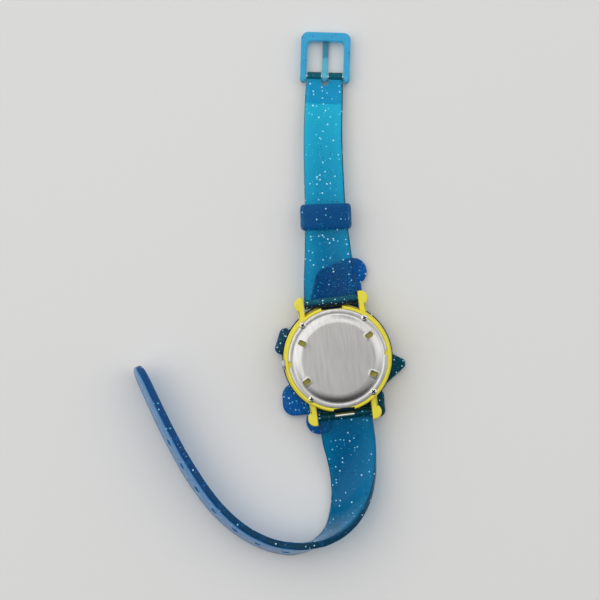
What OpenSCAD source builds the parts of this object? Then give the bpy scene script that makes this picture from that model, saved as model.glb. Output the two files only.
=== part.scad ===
// Child's jelly wristwatch, laid face down with its strap open.
// Origin: centre of the crystal's face, on the table. +Z up, out of the case back.
// +Y points to twelve o'clock, where the buckle half of the strap is hung.

/* [Case] */
// Radius of the case wall
case_r = 13.6; // [13.4:0.05:13.8]
// Height of the case from its front to its back rim
case_h = 6.2; // [6.2:0.1:6.8]
// How far the front flange stands out past the wall
flange_out = 0.5; // [0.3:0.05:0.7]
// Height of the front flange
flange_h = 1.6; // [1.2:0.1:2]
// Thickness of the case front that the crystal and dial sit against
front_wall = 1.1; // [1:0.05:1.3]
// Radius of the cavity that holds the movement
cavity_r = 11.5; // [11.4:0.05:11.55]
// Radius of the opening that shows the dial
dial_opening_r = 9.4; // [9:0.1:9.6]
// Width of the cuts in the wall at twelve and six o'clock
wall_cut_w = 5.5; // [5:0.1:6]

/* [Lugs] */
// Room between the strap's side and a lug
lug_room = 0.15; // [0.1:0.05:0.3]
// How far a spring bar's axis stands out past the case wall
bar_out = 1.2; // [1.1:0.05:1.6]
// Radius of a lug's round knob
knob_r = 2; // [1.9:0.05:2.1]
// How far a knob reaches out from the inner face
knob_out = 2.7; // [2.5:0.05:2.9]
// Width of a lug's neck
neck_w = 2; // [1.8:0.05:2.2]
// Height of a lug
lug_h = 4.2; // [3.8:0.1:4.4]

/* [Back plate] */
// Radius of the steel plate
back_r = 12.8; // [12.6:0.05:12.9]
// Thickness of the steel sheet
back_t = 0.3; // [0.25:0.05:0.35]
// How far the middle of the plate is pressed out
back_rise = 0.6; // [0.4:0.05:0.8]
// Radius where the pressed shoulder begins
shoulder_r = 11; // [10.9:0.05:11.2]
// Radius of the flat middle
centre_r = 9.3; // [9:0.05:9.5]
// Length of each of the four slots, along the radius
slot_len = 2; // [1.6:0.1:2.2]
// Width of each slot
slot_w = 1.4; // [1.2:0.1:1.5]
// Radius of the screw heads
screw_head_r = 0.85; // [0.8:0.05:0.9]

/* [Ornament] */
// Thickness of the ornament charms, which the watch lies on
charm_t = 2.2; // [2.1:0.1:2.6]
// How far the ring that carries the charms stands out past the case wall
bezel_out = 0.8; // [0.7:0.05:0.9]
// Thickness of that ring
bezel_t = 1.2; // [1:0.05:1.3]
// Side of the large square charm
square_charm_w = 7; // [6.8:0.1:7.4]
// Side of the small square charm
small_square_w = 7; // [6.8:0.1:7.2]

/* [Crystal] */
// Outer radius of the crystal
crystal_r = 10.4; // [10.3:0.05:10.45]
// Thickness of the crystal's face
crystal_t = 1; // [0.8:0.05:1.1]
// Thickness of the crystal's skirt
crystal_wall = 0.8; // [0.6:0.05:0.9]

/* [Strap] */
// Width of the strap at the lugs
strap_w = 13.9; // [13.5:0.1:13.9]
// Thickness of the strap
strap_t = 2; // [1.8:0.05:2.1]
// Length of the buckle half, from spring bar to buckle pin
upper_len = 58.7; // [57:0.1:60]
// Length of the half with the holes, along its curve
lower_len = 108.8; // [106:0.2:112]
// Radius of the knuckle that holds a spring bar
knuckle_r = 1.3; // [1.25:0.01:1.35]
// Distance between two holes
hole_pitch = 7; // [6.6:0.1:7.2]
// Radius of a hole
hole_r = 1; // [0.9:0.05:1.1]
// Distance from the spring bar to the first hole
first_hole = 45; // [44:0.5:46]
// Number of holes
hole_count = 7; // [5:1:7]

/* [Keeper] */
// Length of the keeper along the strap
keeper_len = 6.5; // [6:0.1:7]
// Room between the strap's side and the keeper, where the strap is widest
keeper_room = 0.29; // [0.2:0.01:0.5]
// Height of the space inside the keeper
keeper_inside_h = 4.3; // [4.2:0.1:4.5]
// Wall of the keeper
keeper_wall = 0.8; // [0.7:0.05:0.9]

/* [Buckle] */
// Width of the buckle frame
buckle_w = 12.9; // [12.8:0.1:13.2]
// Distance from the pin to the end of the frame
buckle_reach = 11.5; // [11:0.1:12]
// Width of a side bar
side_bar_w = 1.65; // [1.5:0.05:1.7]
// Width of the end bar
end_bar_w = 2.4; // [2.2:0.05:2.6]
// Thickness of the frame
buckle_t = 2.6; // [2.5:0.05:2.7]
// Outer corner radius of the frame
buckle_corner_r = 1.9; // [1.6:0.1:2.2]
// Radius of the buckle pin
pin_r = 0.6; // [0.55:0.01:0.62]
// Width of the tongue
tongue_w = 1.5; // [1.4:0.05:1.6]
// Thickness of the tongue
tongue_t = 1; // [0.9:0.05:1.05]

/* [Crown] */
// Radius of the crown
crown_r = 1.25; // [1.15:0.05:1.3]
// How far the crown stands out past the flange
crown_out = 0.45; // [0.4:0.05:0.6]

/* [Movement] */
// Radius of the movement's main plate
movement_r = 10.2; // [10.1:0.05:10.3]
// Radius of the battery
battery_r = 3.4; // [3.3:0.05:3.45]
// Height of the battery
battery_h = 2.6; // [2.5:0.05:2.65]
// Tooth size of the going train, as pitch diameter over teeth
train_module = 0.08; // [0.078:0.001:0.082]
// Tooth size of the wheels that drive the hour hand
motion_module = 0.1; // [0.098:0.001:0.102]

/* [Hidden] */
$fn = 64;

// Clearances shared by the mating pieces
cut_over = 0.5;
slip = 0.05;
loose = 0.1;
thread_slip = 0.01;
soft_gap = 0.25;

// Heights, from the table up
front_z = charm_t;
back_rim_z = front_z + case_h;
back_lip = 0.4;
back_seat_z = back_rim_z - back_lip;
gasket_t = 0.3;
holder_top_z = back_seat_z - gasket_t;
dial_t = 0.3;
dial_z = front_z + front_wall;
plate_z = dial_z + dial_t;
plate_t = 1.3;
train_z = plate_z + plate_t;
bar_above_front = 2.8;
bar_z = front_z + bar_above_front;
flange_r = case_r + flange_out;
bar_reach = case_r + bar_out;
bezel_r = case_r + bezel_out;
crystal_seat = 0.7;
crystal_h = front_z + crystal_seat;
crystal_slip = 0.08;

// Case back screws
screw_angle = 50;
screw_circle_r = 12.45;
screw_shank_r = 0.45;
screw_head_t = 0.35;
screw_len = 2.4;
screw_slot_w = 0.22;
screw_slot_len = 1.1;
screw_slot_deep = 0.18;

// Directions of the four lugs, as signs of x and y
lug_signs = [[1, 1], [-1, 1], [1, -1], [-1, -1]];
lug_inner = strap_w / 2 + lug_room;
tip_r = 0.38;
tip_reach = 0.95;
tip_hole_r = tip_r + slip;
tip_hole_deep = tip_reach + cut_over / 2;
lug_overlap = 0.8;

// Knurled crown and its pocket
crown_len = 1.3;
crown_tip_x = flange_r + crown_out;
stem_r = 0.4;
stem_hole_r = stem_r + loose;
stem_above_front = 3.2;
stem_z = front_z + stem_above_front;
crown_flutes = 16;
flute_r = 0.12;

module at_signs(signs) {
    for (s = signs) scale_sign(s) children();
}

module scale_sign(s) {
    mirror([s[0] < 0 ? 1 : 0, 0, 0]) mirror([0, s[1] < 0 ? 1 : 0, 0]) children();
}

module disc(r, z0, z1) {
    translate([0, 0, z0]) cylinder(r = r, h = z1 - z0);
}

module ring(r_out, r_in, z0, z1) {
    difference() {
        disc(r_out, z0, z1);
        disc(r_in, z0 - cut_over, z1 + cut_over);
    }
}

module along_x(r, x0, x1, y, z) {
    translate([x0, y, z]) rotate([0, 90, 0]) cylinder(r = r, h = x1 - x0);
}

module block(low, high) {
    translate(low) cube(high - low);
}

module rounded_square(w, r) {
    half = w / 2 - r;
    union() {
        square([w, w - 2 * r], center = true);
        square([w - 2 * r, w], center = true);
        for (x = [-half, half], y = [-half, half]) translate([x, y]) circle(r = r);
    }
}

// Case

bezel_peg_r = 0.6;
bezel_peg_len = 0.8;
bezel_peg_circle_r = 12.4;
bezel_peg_angles = [20, 160, 200, 340];

module lug_plan() {
    knob_x = lug_inner + knob_out - knob_r;
    neck_end = sqrt(pow(case_r, 2) - pow(lug_inner + neck_w, 2)) - lug_overlap;
    intersection() {
        union() {
            translate([knob_x, bar_reach]) circle(r = knob_r);
            translate([lug_inner, neck_end]) square([neck_w, bar_reach - neck_end]);
        }
        translate([lug_inner, 0]) square([knob_out + cut_over, bar_reach + knob_r + cut_over]);
    }
}

module wall_cuts() {
    for (side = [-1, 1])
        block([-wall_cut_w / 2, side > 0 ? back_r : -case_r - flange_r, front_z - cut_over],
              [wall_cut_w / 2, side > 0 ? case_r + flange_r : -back_r, back_rim_z + cut_over]);
}

module case_body() {
    color("gold") difference() {
        union() {
            disc(flange_r, front_z, front_z + flange_h);
            disc(case_r, front_z, back_rim_z);
            at_signs(lug_signs)
                translate([0, 0, bar_z - lug_h / 2]) linear_extrude(lug_h) lug_plan();
        }
        // crystal seat, dial opening, cavity and back plate seat
        disc(crystal_r + crystal_slip, front_z - cut_over, front_z + crystal_seat);
        disc(dial_opening_r, front_z, dial_z + cut_over);
        disc(cavity_r, dial_z, back_rim_z);
        disc(back_r + slip, back_seat_z, back_rim_z + cut_over);
        wall_cuts();
        // screw head pockets and threads
        at_screws() {
            disc(screw_head_r + slip, back_seat_z + back_t, back_rim_z + cut_over);
            disc(screw_shank_r + thread_slip, back_seat_z - screw_len, back_rim_z);
        }
        // spring bar holes
        for (s = lug_signs)
            along_x(tip_hole_r, s[0] > 0 ? lug_inner - cut_over : -lug_inner - tip_hole_deep,
                    s[0] > 0 ? lug_inner + tip_hole_deep : -lug_inner + cut_over, s[1] * bar_reach, bar_z);
        // stem hole and crown pocket
        along_x(stem_hole_r, -flange_r - cut_over, -cavity_r + cut_over, 0, stem_z);
        along_x(crown_r + loose, -flange_r - crown_len, crown_len - crown_tip_x + loose, 0, stem_z);
        // holes for the bezel pegs
        for (a = bezel_peg_angles) rotate([0, 0, a]) translate([bezel_peg_circle_r, 0, 0])
            disc(bezel_peg_r + slip, front_z - cut_over, front_z + bezel_peg_len + slip);
    }
}

// Case back

slot_angle = 30;
slot_circle_r = 10;
slot_corner_share = 0.4;
notch_r = 0.8;
shoulder_steps = 6;

function ease(t) = t * t * (3 - 2 * t);

module back_profile() {
    up = [for (i = [0:shoulder_steps]) let (t = i / shoulder_steps)
        [shoulder_r + (centre_r - shoulder_r) * t, back_rise * ease(t)]];
    top = [for (p = up) [p[0], p[1] + back_t]];
    under = [for (i = [shoulder_steps:-1:0]) up[i]];
    polygon(concat([[0, back_rise + back_t]], [for (i = [shoulder_steps:-1:0]) top[i]],
                   [[back_r, back_t], [back_r, 0]], up, [[0, back_rise]]));
}

module case_back() {
    color("silver") difference() {
        translate([0, 0, back_seat_z]) rotate_extrude($fn = 96) back_profile();
        for (a = [slot_angle, 180 - slot_angle, 180 + slot_angle, -slot_angle])
            rotate([0, 0, a]) translate([slot_circle_r, 0, back_seat_z - cut_over])
                linear_extrude(back_rise + back_t + 2 * cut_over) {
                    square([slot_len - slot_w * slot_corner_share, slot_w], center = true);
                    square([slot_len, slot_w * (1 - slot_corner_share)], center = true);
                }
        at_screws() disc(screw_shank_r + slip, back_seat_z - cut_over, back_rim_z);
        for (x = [-back_r, back_r]) translate([x, 0, 0])
            disc(notch_r, back_seat_z - cut_over, back_rim_z);
    }
}

module at_screws() {
    for (a = [screw_angle, 180 - screw_angle, 180 + screw_angle, -screw_angle])
        rotate([0, 0, a]) translate([screw_circle_r, 0, 0]) children();
}

module case_back_screws() {
    head_z = back_seat_z + back_t;
    color("lightgray") at_screws() difference() {
        union() {
            disc(screw_shank_r, back_seat_z - screw_len, head_z);
            disc(screw_head_r, head_z, head_z + screw_head_t);
        }
        for (a = [0, 90]) rotate([0, 0, a])
            translate([0, 0, head_z + screw_head_t])
                cube([screw_slot_len, screw_slot_w, 2 * screw_slot_deep], center = true);
    }
}

gasket_in = 0.6;

module back_gasket() {
    color("dimgray") ring(cavity_r - slip, cavity_r - gasket_in, holder_top_z, back_seat_z);
}

// Crystal and ornament

module crystal() {
    color("lightcyan", 0.4) difference() {
        disc(crystal_r, 0, crystal_h);
        disc(crystal_r - crystal_wall, crystal_t, crystal_h + cut_over);
    }
}

bezel_front_z = front_z - bezel_t;
charm_peg_r = 0.5;
charm_peg_len = 0.7;
bezel_inner_r = crystal_r + loose;
ring_slip = 0.06;

// Lobes of the free forms, as [x, y, radius] shares of the ring's radius
round_lobe_shares = [[0.471, 1.517, 0.252], [-0.014, 1.403, 0.236]];
round_body_shares = [[0.455, 1.528, 0.135], [-0.014, 1.403, 0.236], [-0.153, 1.083, 0.222],
                     [0.375, 1.042, 0.215]];
heart_left_shares = [[-0.875, -0.736, 0.215], [-0.847, -0.597, 0.236], [-0.694, -0.736, 0.215], [0, 0, 0.1]];
heart_right_shares = [[-0.465, -1.097, 0.243], [0, 0, 0.1]];
triangle_shares = [[1.132, 0, 0.104], [0.66, 0.167, 0.104], [0.799, -0.373, 0.104]];

// Each of the others is given by its reach from the middle of the dial and its direction
square_charm_reach = bezel_r - 1.5;
square_charm_angle = 156;
small_square_reach = bezel_r + 0.5;
small_square_angle = 299.3;
triangle_angle = -12.4;
small_square_turn = -2;
square_corner_share = 0.22;
charm_peg_circle_r = bezel_r - 1.5;
charm_peg_angles = [79.7, square_charm_angle, 232, triangle_angle, small_square_angle];

function polar(reach, angle) = [reach * cos(angle), reach * sin(angle)];

module bezel_ring() {
    color("royalblue") difference() {
        union() {
            ring(bezel_r, bezel_inner_r, bezel_front_z, front_z);
            for (a = bezel_peg_angles) rotate([0, 0, a]) translate([bezel_peg_circle_r, 0, 0])
                disc(bezel_peg_r, bezel_front_z, front_z + bezel_peg_len);
        }
        for (a = charm_peg_angles) rotate([0, 0, a]) translate([charm_peg_circle_r, 0, 0])
            disc(charm_peg_r + slip, bezel_front_z - cut_over, bezel_front_z + charm_peg_len + slip);
    }
}

// A charm hooks over the ring's edge: thin in front of it, full height outside it
module charm(angle) {
    difference() {
        linear_extrude(charm_t) children();
        disc(bezel_inner_r + loose, -cut_over, charm_t + cut_over);
        disc(bezel_r + ring_slip, bezel_front_z, charm_t + cut_over);
    }
    rotate([0, 0, angle]) translate([charm_peg_circle_r, 0, 0])
        disc(charm_peg_r, bezel_front_z - cut_over, bezel_front_z + charm_peg_len);
}

module lobes(shares) {
    hull() for (lobe = shares)
        translate([lobe[0], lobe[1]] * bezel_r) circle(r = lobe[2] * bezel_r);
}

module round_charm() {
    color("mediumblue") charm(charm_peg_angles[0]) {
        lobes(round_lobe_shares);
        lobes(round_body_shares);
    }
}

module square_charm() {
    color("steelblue") charm(charm_peg_angles[1])
        translate(polar(square_charm_reach, square_charm_angle)) rotate([0, 0, square_charm_angle])
            rounded_square(square_charm_w, square_charm_w * square_corner_share);
}

module heart_charm() {
    color("blue") charm(charm_peg_angles[2]) {
        lobes(heart_left_shares);
        lobes(heart_right_shares);
    }
}

module triangle_charm() {
    color("teal") charm(charm_peg_angles[3]) rotate([0, 0, triangle_angle]) lobes(triangle_shares);
}

module small_square_charm() {
    color("darkcyan") charm(charm_peg_angles[4])
        translate(polar(small_square_reach, small_square_angle)) rotate([0, 0, small_square_turn])
            rounded_square(small_square_w, small_square_w * square_corner_share);
}

// Dial and hands

dial_r = 11;
dial_hole_r = 0.8;
dial_foot_r = 0.35;
dial_foot_len = 0.9;
dial_foot_circle_r = 9;
dial_foot_angles = [75, 255];

module dial() {
    color("white") {
        difference() {
            disc(dial_r, dial_z, plate_z);
            disc(dial_hole_r, dial_z - cut_over, plate_z + cut_over);
        }
        for (a = dial_foot_angles) rotate([0, 0, a]) translate([dial_foot_circle_r, 0, 0])
            disc(dial_foot_r, plate_z - dial_t / 2, plate_z + dial_foot_len);
    }
}

hand_t = 0.15;
dial_hand_gap = 0.5;
hand_gap = 0.3;
hour_hand_z = dial_z - dial_hand_gap - hand_t;
minute_hand_z = hour_hand_z - hand_gap - hand_t;
second_hand_z = minute_hand_z - hand_gap - hand_t;
hour_hand_len = 5;
minute_hand_len = 7.6;
second_hand_len = 8.2;
second_tail_len = 2.2;
hour_hand_w = 1.1;
minute_hand_w = 0.8;
second_hand_w = 0.25;
hour_boss_r = 1;
minute_boss_r = 0.8;
second_boss_r = 0.6;
second_counter_r = 0.55;
hand_tip_share = 0.35;
hour_angle = 35;
minute_angle = 150;
second_angle = -90;

// A baton hand from its boss outward along +X
module hand_plan(len, w, boss_r) {
    circle(r = boss_r);
    polygon([[0, -w / 2], [len * (1 - hand_tip_share / 2), -w / 2], [len, -w * hand_tip_share / 2],
             [len, w * hand_tip_share / 2], [len * (1 - hand_tip_share / 2), w / 2], [0, w / 2]]);
}

seconds_arbor_r = 0.12;
cannon_r = 0.35;
cannon_bore_r = seconds_arbor_r + slip;
hour_pipe_r = 0.7;
hour_pipe_bore_r = cannon_r + slip;

module hour_hand() {
    color("black") difference() {
        translate([0, 0, hour_hand_z]) linear_extrude(hand_t) rotate([0, 0, hour_angle])
            hand_plan(hour_hand_len, hour_hand_w, hour_boss_r);
        disc(hour_pipe_bore_r, hour_hand_z - cut_over, hour_hand_z + hand_t + cut_over);
    }
}

module minute_hand() {
    color("black") difference() {
        translate([0, 0, minute_hand_z]) linear_extrude(hand_t) rotate([0, 0, minute_angle])
            hand_plan(minute_hand_len, minute_hand_w, minute_boss_r);
        disc(cannon_bore_r, minute_hand_z - cut_over, minute_hand_z + hand_t + cut_over);
    }
}

module second_hand() {
    color("red") translate([0, 0, second_hand_z]) linear_extrude(hand_t) rotate([0, 0, second_angle]) {
        hand_plan(second_hand_len, second_hand_w, second_boss_r);
        translate([-second_tail_len, -second_hand_w / 2]) square([second_tail_len, second_hand_w]);
        translate([-second_tail_len, 0]) circle(r = second_counter_r);
    }
}

// Gear train. Each wheel is cut with plain straight-sided teeth.

root_share = 1.15;
tip_share = 0.85;
root_half_share = 0.28;
tip_half_share = 0.1;

function tip_radius(teeth, m) = m * (teeth / 2 + tip_share);

module toothed_plan(teeth, m) {
    root = m * (teeth / 2 - root_share);
    tip = tip_radius(teeth, m);
    pitch = 360 / teeth;
    polygon([for (i = [0:teeth - 1], k = [0:3])
        let (share = [-root_half_share, -tip_half_share, tip_half_share, root_half_share][k],
             r = k == 0 || k == 3 ? root : tip,
             a = pitch * (i + share))
        [r * cos(a), r * sin(a)]]);
}

module wheel(teeth, m, z0, z1, turn = 0) {
    translate([0, 0, z0]) linear_extrude(z1 - z0) rotate([0, 0, turn]) toothed_plan(teeth, m);
}

function mesh_distance(a, b, m) = m * (a + b) / 2;

// Turn that sets a wheel's gap against its mate's tooth, when it stands at this angle from the mate
function mesh_turn(teeth, mate_teeth, angle) =
    angle + 180 - 360 / teeth * (half_tooth_share - angle * mate_teeth / 360);

rotor_teeth = 6;
fifth_teeth = 36;
fifth_pinion_teeth = 13;
seconds_teeth = 65;
seconds_pinion_teeth = 11;
third_teeth = 66;
third_pinion_teeth = 7;
centre_teeth = 70;
cannon_teeth = 10;
minute_teeth = 30;
minute_pinion_teeth = 8;
hour_teeth = 32;

wheel_t = 0.2;
pinion_t = 0.35;
pivot_r = 0.12;
wheel_clear = 0.1;
seconds_above_plate = 0.55;
third_above_plate = 0.95;
fifth_above_plate = 1.25;
bridge_above_plate = 1.6;
centre_level = train_z + wheel_clear;
seconds_level = train_z + seconds_above_plate;
third_level = train_z + third_above_plate;
fifth_level = train_z + fifth_above_plate;
bridge_z = train_z + bridge_above_plate;
bridge_t = 0.4;
motion_level = plate_z + wheel_clear;
cannon_level = motion_level + pinion_t;

train_angle = 45;
third_distance = mesh_distance(seconds_pinion_teeth, third_teeth, train_module);
fifth_distance = mesh_distance(fifth_pinion_teeth, seconds_teeth, train_module);
rotor_distance = fifth_distance + mesh_distance(rotor_teeth, fifth_teeth, train_module);
minute_distance = mesh_distance(cannon_teeth, minute_teeth, motion_module);
third_angle = 180 - train_angle;
minute_work_angle = 180;
third_at = polar(third_distance, third_angle);
fifth_at = polar(fifth_distance, train_angle);
rotor_at = polar(rotor_distance, train_angle);
minute_at = polar(minute_distance, minute_work_angle);
magnet_r = 0.75;
magnet_above_plate = 0.6;
magnet_z = train_z + magnet_above_plate;
magnet_h = 0.6;
half_tooth_share = 0.5;

module seconds_wheel() {
    color("goldenrod") {
        disc(seconds_arbor_r, second_hand_z + hand_t, bridge_z + bridge_t);
        wheel(seconds_teeth, train_module, seconds_level, seconds_level + wheel_t);
        wheel(seconds_pinion_teeth, train_module, seconds_level + wheel_t, third_level + wheel_t);
    }
}

module third_wheel() {
    color("goldenrod") translate(third_at) {
        disc(pivot_r, train_z - plate_t / 2, bridge_z + bridge_t);
        wheel(third_pinion_teeth, train_module, train_z + slip, train_z + slip + pinion_t,
              mesh_turn(third_pinion_teeth, centre_teeth, third_angle));
        wheel(third_teeth, train_module, third_level, third_level + wheel_t,
              mesh_turn(third_teeth, seconds_pinion_teeth, third_angle));
    }
}

module centre_wheel() {
    color("goldenrod") difference() {
        union() {
            wheel(centre_teeth, train_module, centre_level, centre_level + wheel_t);
            disc(cannon_r, minute_hand_z + hand_t, centre_level + wheel_t);
            wheel(cannon_teeth, motion_module, cannon_level, cannon_level + pinion_t);
        }
        disc(cannon_bore_r, minute_hand_z - cut_over, centre_level + wheel_t + cut_over);
    }
}

module fifth_wheel() {
    color("goldenrod") translate(fifth_at) {
        disc(pivot_r, train_z - plate_t / 2, bridge_z + bridge_t);
        wheel(fifth_pinion_teeth, train_module, seconds_level - slip, seconds_level + wheel_t + slip,
              mesh_turn(fifth_pinion_teeth, seconds_teeth, train_angle));
        wheel(fifth_teeth, train_module, fifth_level, fifth_level + wheel_t);
    }
}

module rotor() {
    color("slategray") translate(rotor_at) {
        disc(pivot_r, train_z - plate_t / 2, bridge_z + bridge_t);
        disc(magnet_r, magnet_z, magnet_z + magnet_h);
        wheel(rotor_teeth, train_module, magnet_z + magnet_h, fifth_level + wheel_t,
              mesh_turn(rotor_teeth, fifth_teeth, train_angle));
    }
}

module minute_wheel() {
    color("goldenrod") translate(minute_at) {
        disc(pivot_r, motion_level, train_z - wheel_t);
        wheel(minute_pinion_teeth, motion_module, motion_level, cannon_level,
              mesh_turn(minute_pinion_teeth, hour_teeth, minute_work_angle));
        wheel(minute_teeth, motion_module, cannon_level, cannon_level + wheel_t,
              mesh_turn(minute_teeth, cannon_teeth, minute_work_angle));
    }
}

module hour_wheel() {
    color("goldenrod") difference() {
        union() {
            wheel(hour_teeth, motion_module, motion_level, motion_level + wheel_t);
            disc(hour_pipe_r, hour_hand_z + hand_t, motion_level + wheel_t);
        }
        disc(hour_pipe_bore_r, hour_hand_z - cut_over, motion_level + wheel_t + cut_over);
    }
}

// Movement plates and electrics

holder_lip_r = 8.8;
holder_lip_h = 0.4;
stem_slot_w = 1.3;
battery_reach = 6.35;
battery_angle = -45;
battery_at = polar(battery_reach, battery_angle);
battery_sink = 0.5;
battery_z = train_z - battery_sink;
contact_t = 0.08;
motion_pocket_deep = cannon_level + pinion_t + wheel_clear - plate_z;
post_r = 0.55;
right_post_reach = 5.3;
right_post_angle = 5;
left_post_reach = 5.7;
left_post_angle = 166.5;
lower_post_reach = 5.2;
lower_post_angle = 256;
posts = [polar(right_post_reach, right_post_angle), polar(left_post_reach, left_post_angle),
         polar(lower_post_reach, lower_post_angle)];
bridge_screw_r = 0.25;
bridge_screw_head_r = 0.5;
bridge_screw_head_t = 0.2;
bridge_screw_len = 1.2;
bridge_r = 6.3;
bridge_clear = 0.3;

module movement_holder() {
    color("goldenrod") difference() {
        union() {
            ring(cavity_r - slip, movement_r + loose, plate_z, holder_top_z);
            ring(cavity_r - slip, holder_lip_r, holder_top_z - holder_lip_h, holder_top_z);
        }
        block([-cavity_r - cut_over, -stem_slot_w / 2, stem_z - stem_slot_w / 2],
              [-movement_r + cut_over, stem_slot_w / 2, stem_z + stem_slot_w / 2]);
    }
}

module mainplate() {
    pocket_top_z = plate_z + motion_pocket_deep;
    color("darkslategray") difference() {
        union() {
            disc(movement_r, plate_z, train_z);
            for (p = posts) translate(p) disc(post_r, train_z - plate_t / 2, bridge_z);
        }
        // pockets for the motion work, the battery and the dial's feet
        disc(tip_radius(hour_teeth, motion_module) + wheel_clear, plate_z - cut_over, pocket_top_z);
        translate(minute_at)
            disc(tip_radius(minute_teeth, motion_module) + wheel_clear, plate_z - cut_over, pocket_top_z);
        translate(battery_at) disc(battery_r + loose, battery_z - contact_t, train_z + cut_over);
        for (a = dial_foot_angles) rotate([0, 0, a]) translate([dial_foot_circle_r, 0, 0])
            disc(dial_foot_r + slip, plate_z - cut_over, plate_z + dial_foot_len + slip);
        // pivot and screw holes
        disc(cannon_r + loose, plate_z, train_z + cut_over);
        translate(minute_at) disc(pivot_r + slip, plate_z, train_z - wheel_t / 2);
        for (p = [third_at, fifth_at, rotor_at]) translate(p)
            disc(pivot_r + slip, train_z - plate_t / 2 - slip, train_z + cut_over);
        for (p = posts) translate(p)
            disc(bridge_screw_r + thread_slip, bridge_z + bridge_t - bridge_screw_len, bridge_z + cut_over);
    }
}

module train_bridge() {
    color("lightgray") difference() {
        disc(bridge_r, bridge_z, bridge_z + bridge_t);
        translate(battery_at)
            disc(battery_r + bridge_clear, bridge_z - cut_over, bridge_z + bridge_t + cut_over);
        for (p = [[0, 0], third_at, fifth_at, rotor_at]) translate(p)
            disc(pivot_r + slip, bridge_z - cut_over, bridge_z + bridge_t + cut_over);
        for (p = posts) translate(p)
            disc(bridge_screw_r + slip, bridge_z - cut_over, bridge_z + bridge_t + cut_over);
        coil_space();
    }
}

module bridge_screws() {
    top = bridge_z + bridge_t;
    color("silver") for (p = posts) translate(p) {
        disc(bridge_screw_r, top - bridge_screw_len + slip, top + bridge_screw_head_t / 2);
        disc(bridge_screw_head_r, top, top + bridge_screw_head_t);
    }
}

board_t = 0.4;
board_r = 9.5;
board_inner_r = 3.3;
board_edge_y = -1.3;
board_edge_x = -0.6;
chip_r = 1.5;
chip_h = 0.6;
chip_reach = 6.4;
chip_angle = 208;
can_r = 0.55;
can_len = 4.4;
can_left_x = -6.6;
can_y = -5.6;

module circuit_board() {
    top = train_z + board_t + cut_over;
    far = board_r + cut_over;
    color("darkgreen") difference() {
        disc(board_r, train_z, top - cut_over);
        block([-board_r - cut_over, board_edge_y, train_z - cut_over], [far, far, top]);
        block([board_edge_x, -board_r - cut_over, train_z - cut_over], [far, far, top]);
        disc(board_inner_r, train_z - cut_over, top);
        for (p = posts) translate(p) disc(post_r + loose, train_z - cut_over, top);
    }
}

module chip() {
    color("black") translate(polar(chip_reach, chip_angle))
        disc(chip_r, train_z + board_t, train_z + board_t + chip_h);
}

module quartz_can() {
    color("silver") along_x(can_r, can_left_x, can_left_x + can_len, can_y, train_z + board_t + can_r);
}

coil_r = 1.05;
coil_len = 5.4;
coil_y = 7.3;
coil_mid_x = 1.9;
coil_above_plate = 1.15;
coil_z = train_z + coil_above_plate;
core_w = 0.9;
core_t = 0.35;
core_over = 1.3;
stator_t = 0.3;
stator_above_plate = 0.88;
stator_z = train_z + stator_above_plate;
stator_hole_r = 0.95;
stator_pad_r = 1.25;
stator_leg_w = 1;

core_left_x = coil_mid_x - coil_len / 2 - core_over;
core_right_x = coil_mid_x + coil_len / 2 + core_over;

module coil_space() {
    along_x(coil_r + loose, core_left_x - loose, core_right_x + loose, coil_y, coil_z);
}

module coil() {
    color("chocolate") {
        along_x(coil_r, coil_mid_x - coil_len / 2, coil_mid_x + coil_len / 2, coil_y, coil_z);
        block([core_left_x, coil_y - core_w / 2, stator_z + stator_t],
              [core_right_x, coil_y + core_w / 2, stator_z + stator_t + core_t]);
    }
}

module stator_leg(from, to) {
    along = (to - from) / norm(to - from);
    side = [-along[1], along[0]] * stator_leg_w / 2;
    polygon([from - side, to - side, to + side, from + side]);
}

module stator() {
    turn_y = coil_y - coil_r - stator_leg_w / 2;
    color("gray") difference() {
        translate([0, 0, stator_z]) linear_extrude(stator_t) {
            translate(rotor_at) circle(r = stator_pad_r);
            for (x = [core_left_x + core_over / 2, core_right_x - core_over / 2]) {
                stator_leg(rotor_at, [x, turn_y]);
                stator_leg([x, turn_y - stator_leg_w / 2], [x, coil_y + core_w / 2]);
            }
        }
        translate(rotor_at) disc(stator_hole_r, stator_z - cut_over, stator_z + stator_t + cut_over);
    }
}

module battery_contact() {
    color("gold") translate(battery_at) disc(battery_r / 2, battery_z - contact_t, battery_z);
}

module battery() {
    color("silver") translate(battery_at) disc(battery_r, battery_z, battery_z + battery_h);
}

clamp_w = 1.6;
clamp_t = 0.15;
clamp_foot_len = 0.8;
clamp_reach_share = 0.7;

module battery_clamp() {
    top = battery_z + battery_h;
    foot_x = battery_reach - battery_r - bridge_clear;
    color("silver") rotate([0, 0, battery_angle]) {
        block([foot_x - clamp_foot_len, -clamp_w / 2, top],
              [battery_reach + battery_r * clamp_reach_share, clamp_w / 2, top + clamp_t]);
        block([foot_x - clamp_foot_len, -clamp_w / 2, bridge_z + bridge_t],
              [foot_x, clamp_w / 2, top + clamp_t]);
    }
}

// Stem and crown. The slider is pushed with the stem, which turns in it.

stem_end_x = 4.3;
groove_r = 0.25;
groove_x = 8.2;
groove_w = 0.4;
slider_w = 1.6;
slider_t = groove_w - loose;
slider_foot_len = 1.6;
slider_foot_w = 0.8;
slider_foot_t = 0.3;

module stem() {
    color("silver") difference() {
        along_x(stem_r, crown_len / 2 - crown_tip_x, -stem_end_x, 0, stem_z);
        difference() {
            along_x(stem_r + cut_over, -groove_x - groove_w / 2, -groove_x + groove_w / 2, 0, stem_z);
            along_x(groove_r, -groove_x - groove_w, -groove_x + groove_w, 0, stem_z);
        }
    }
}

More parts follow.
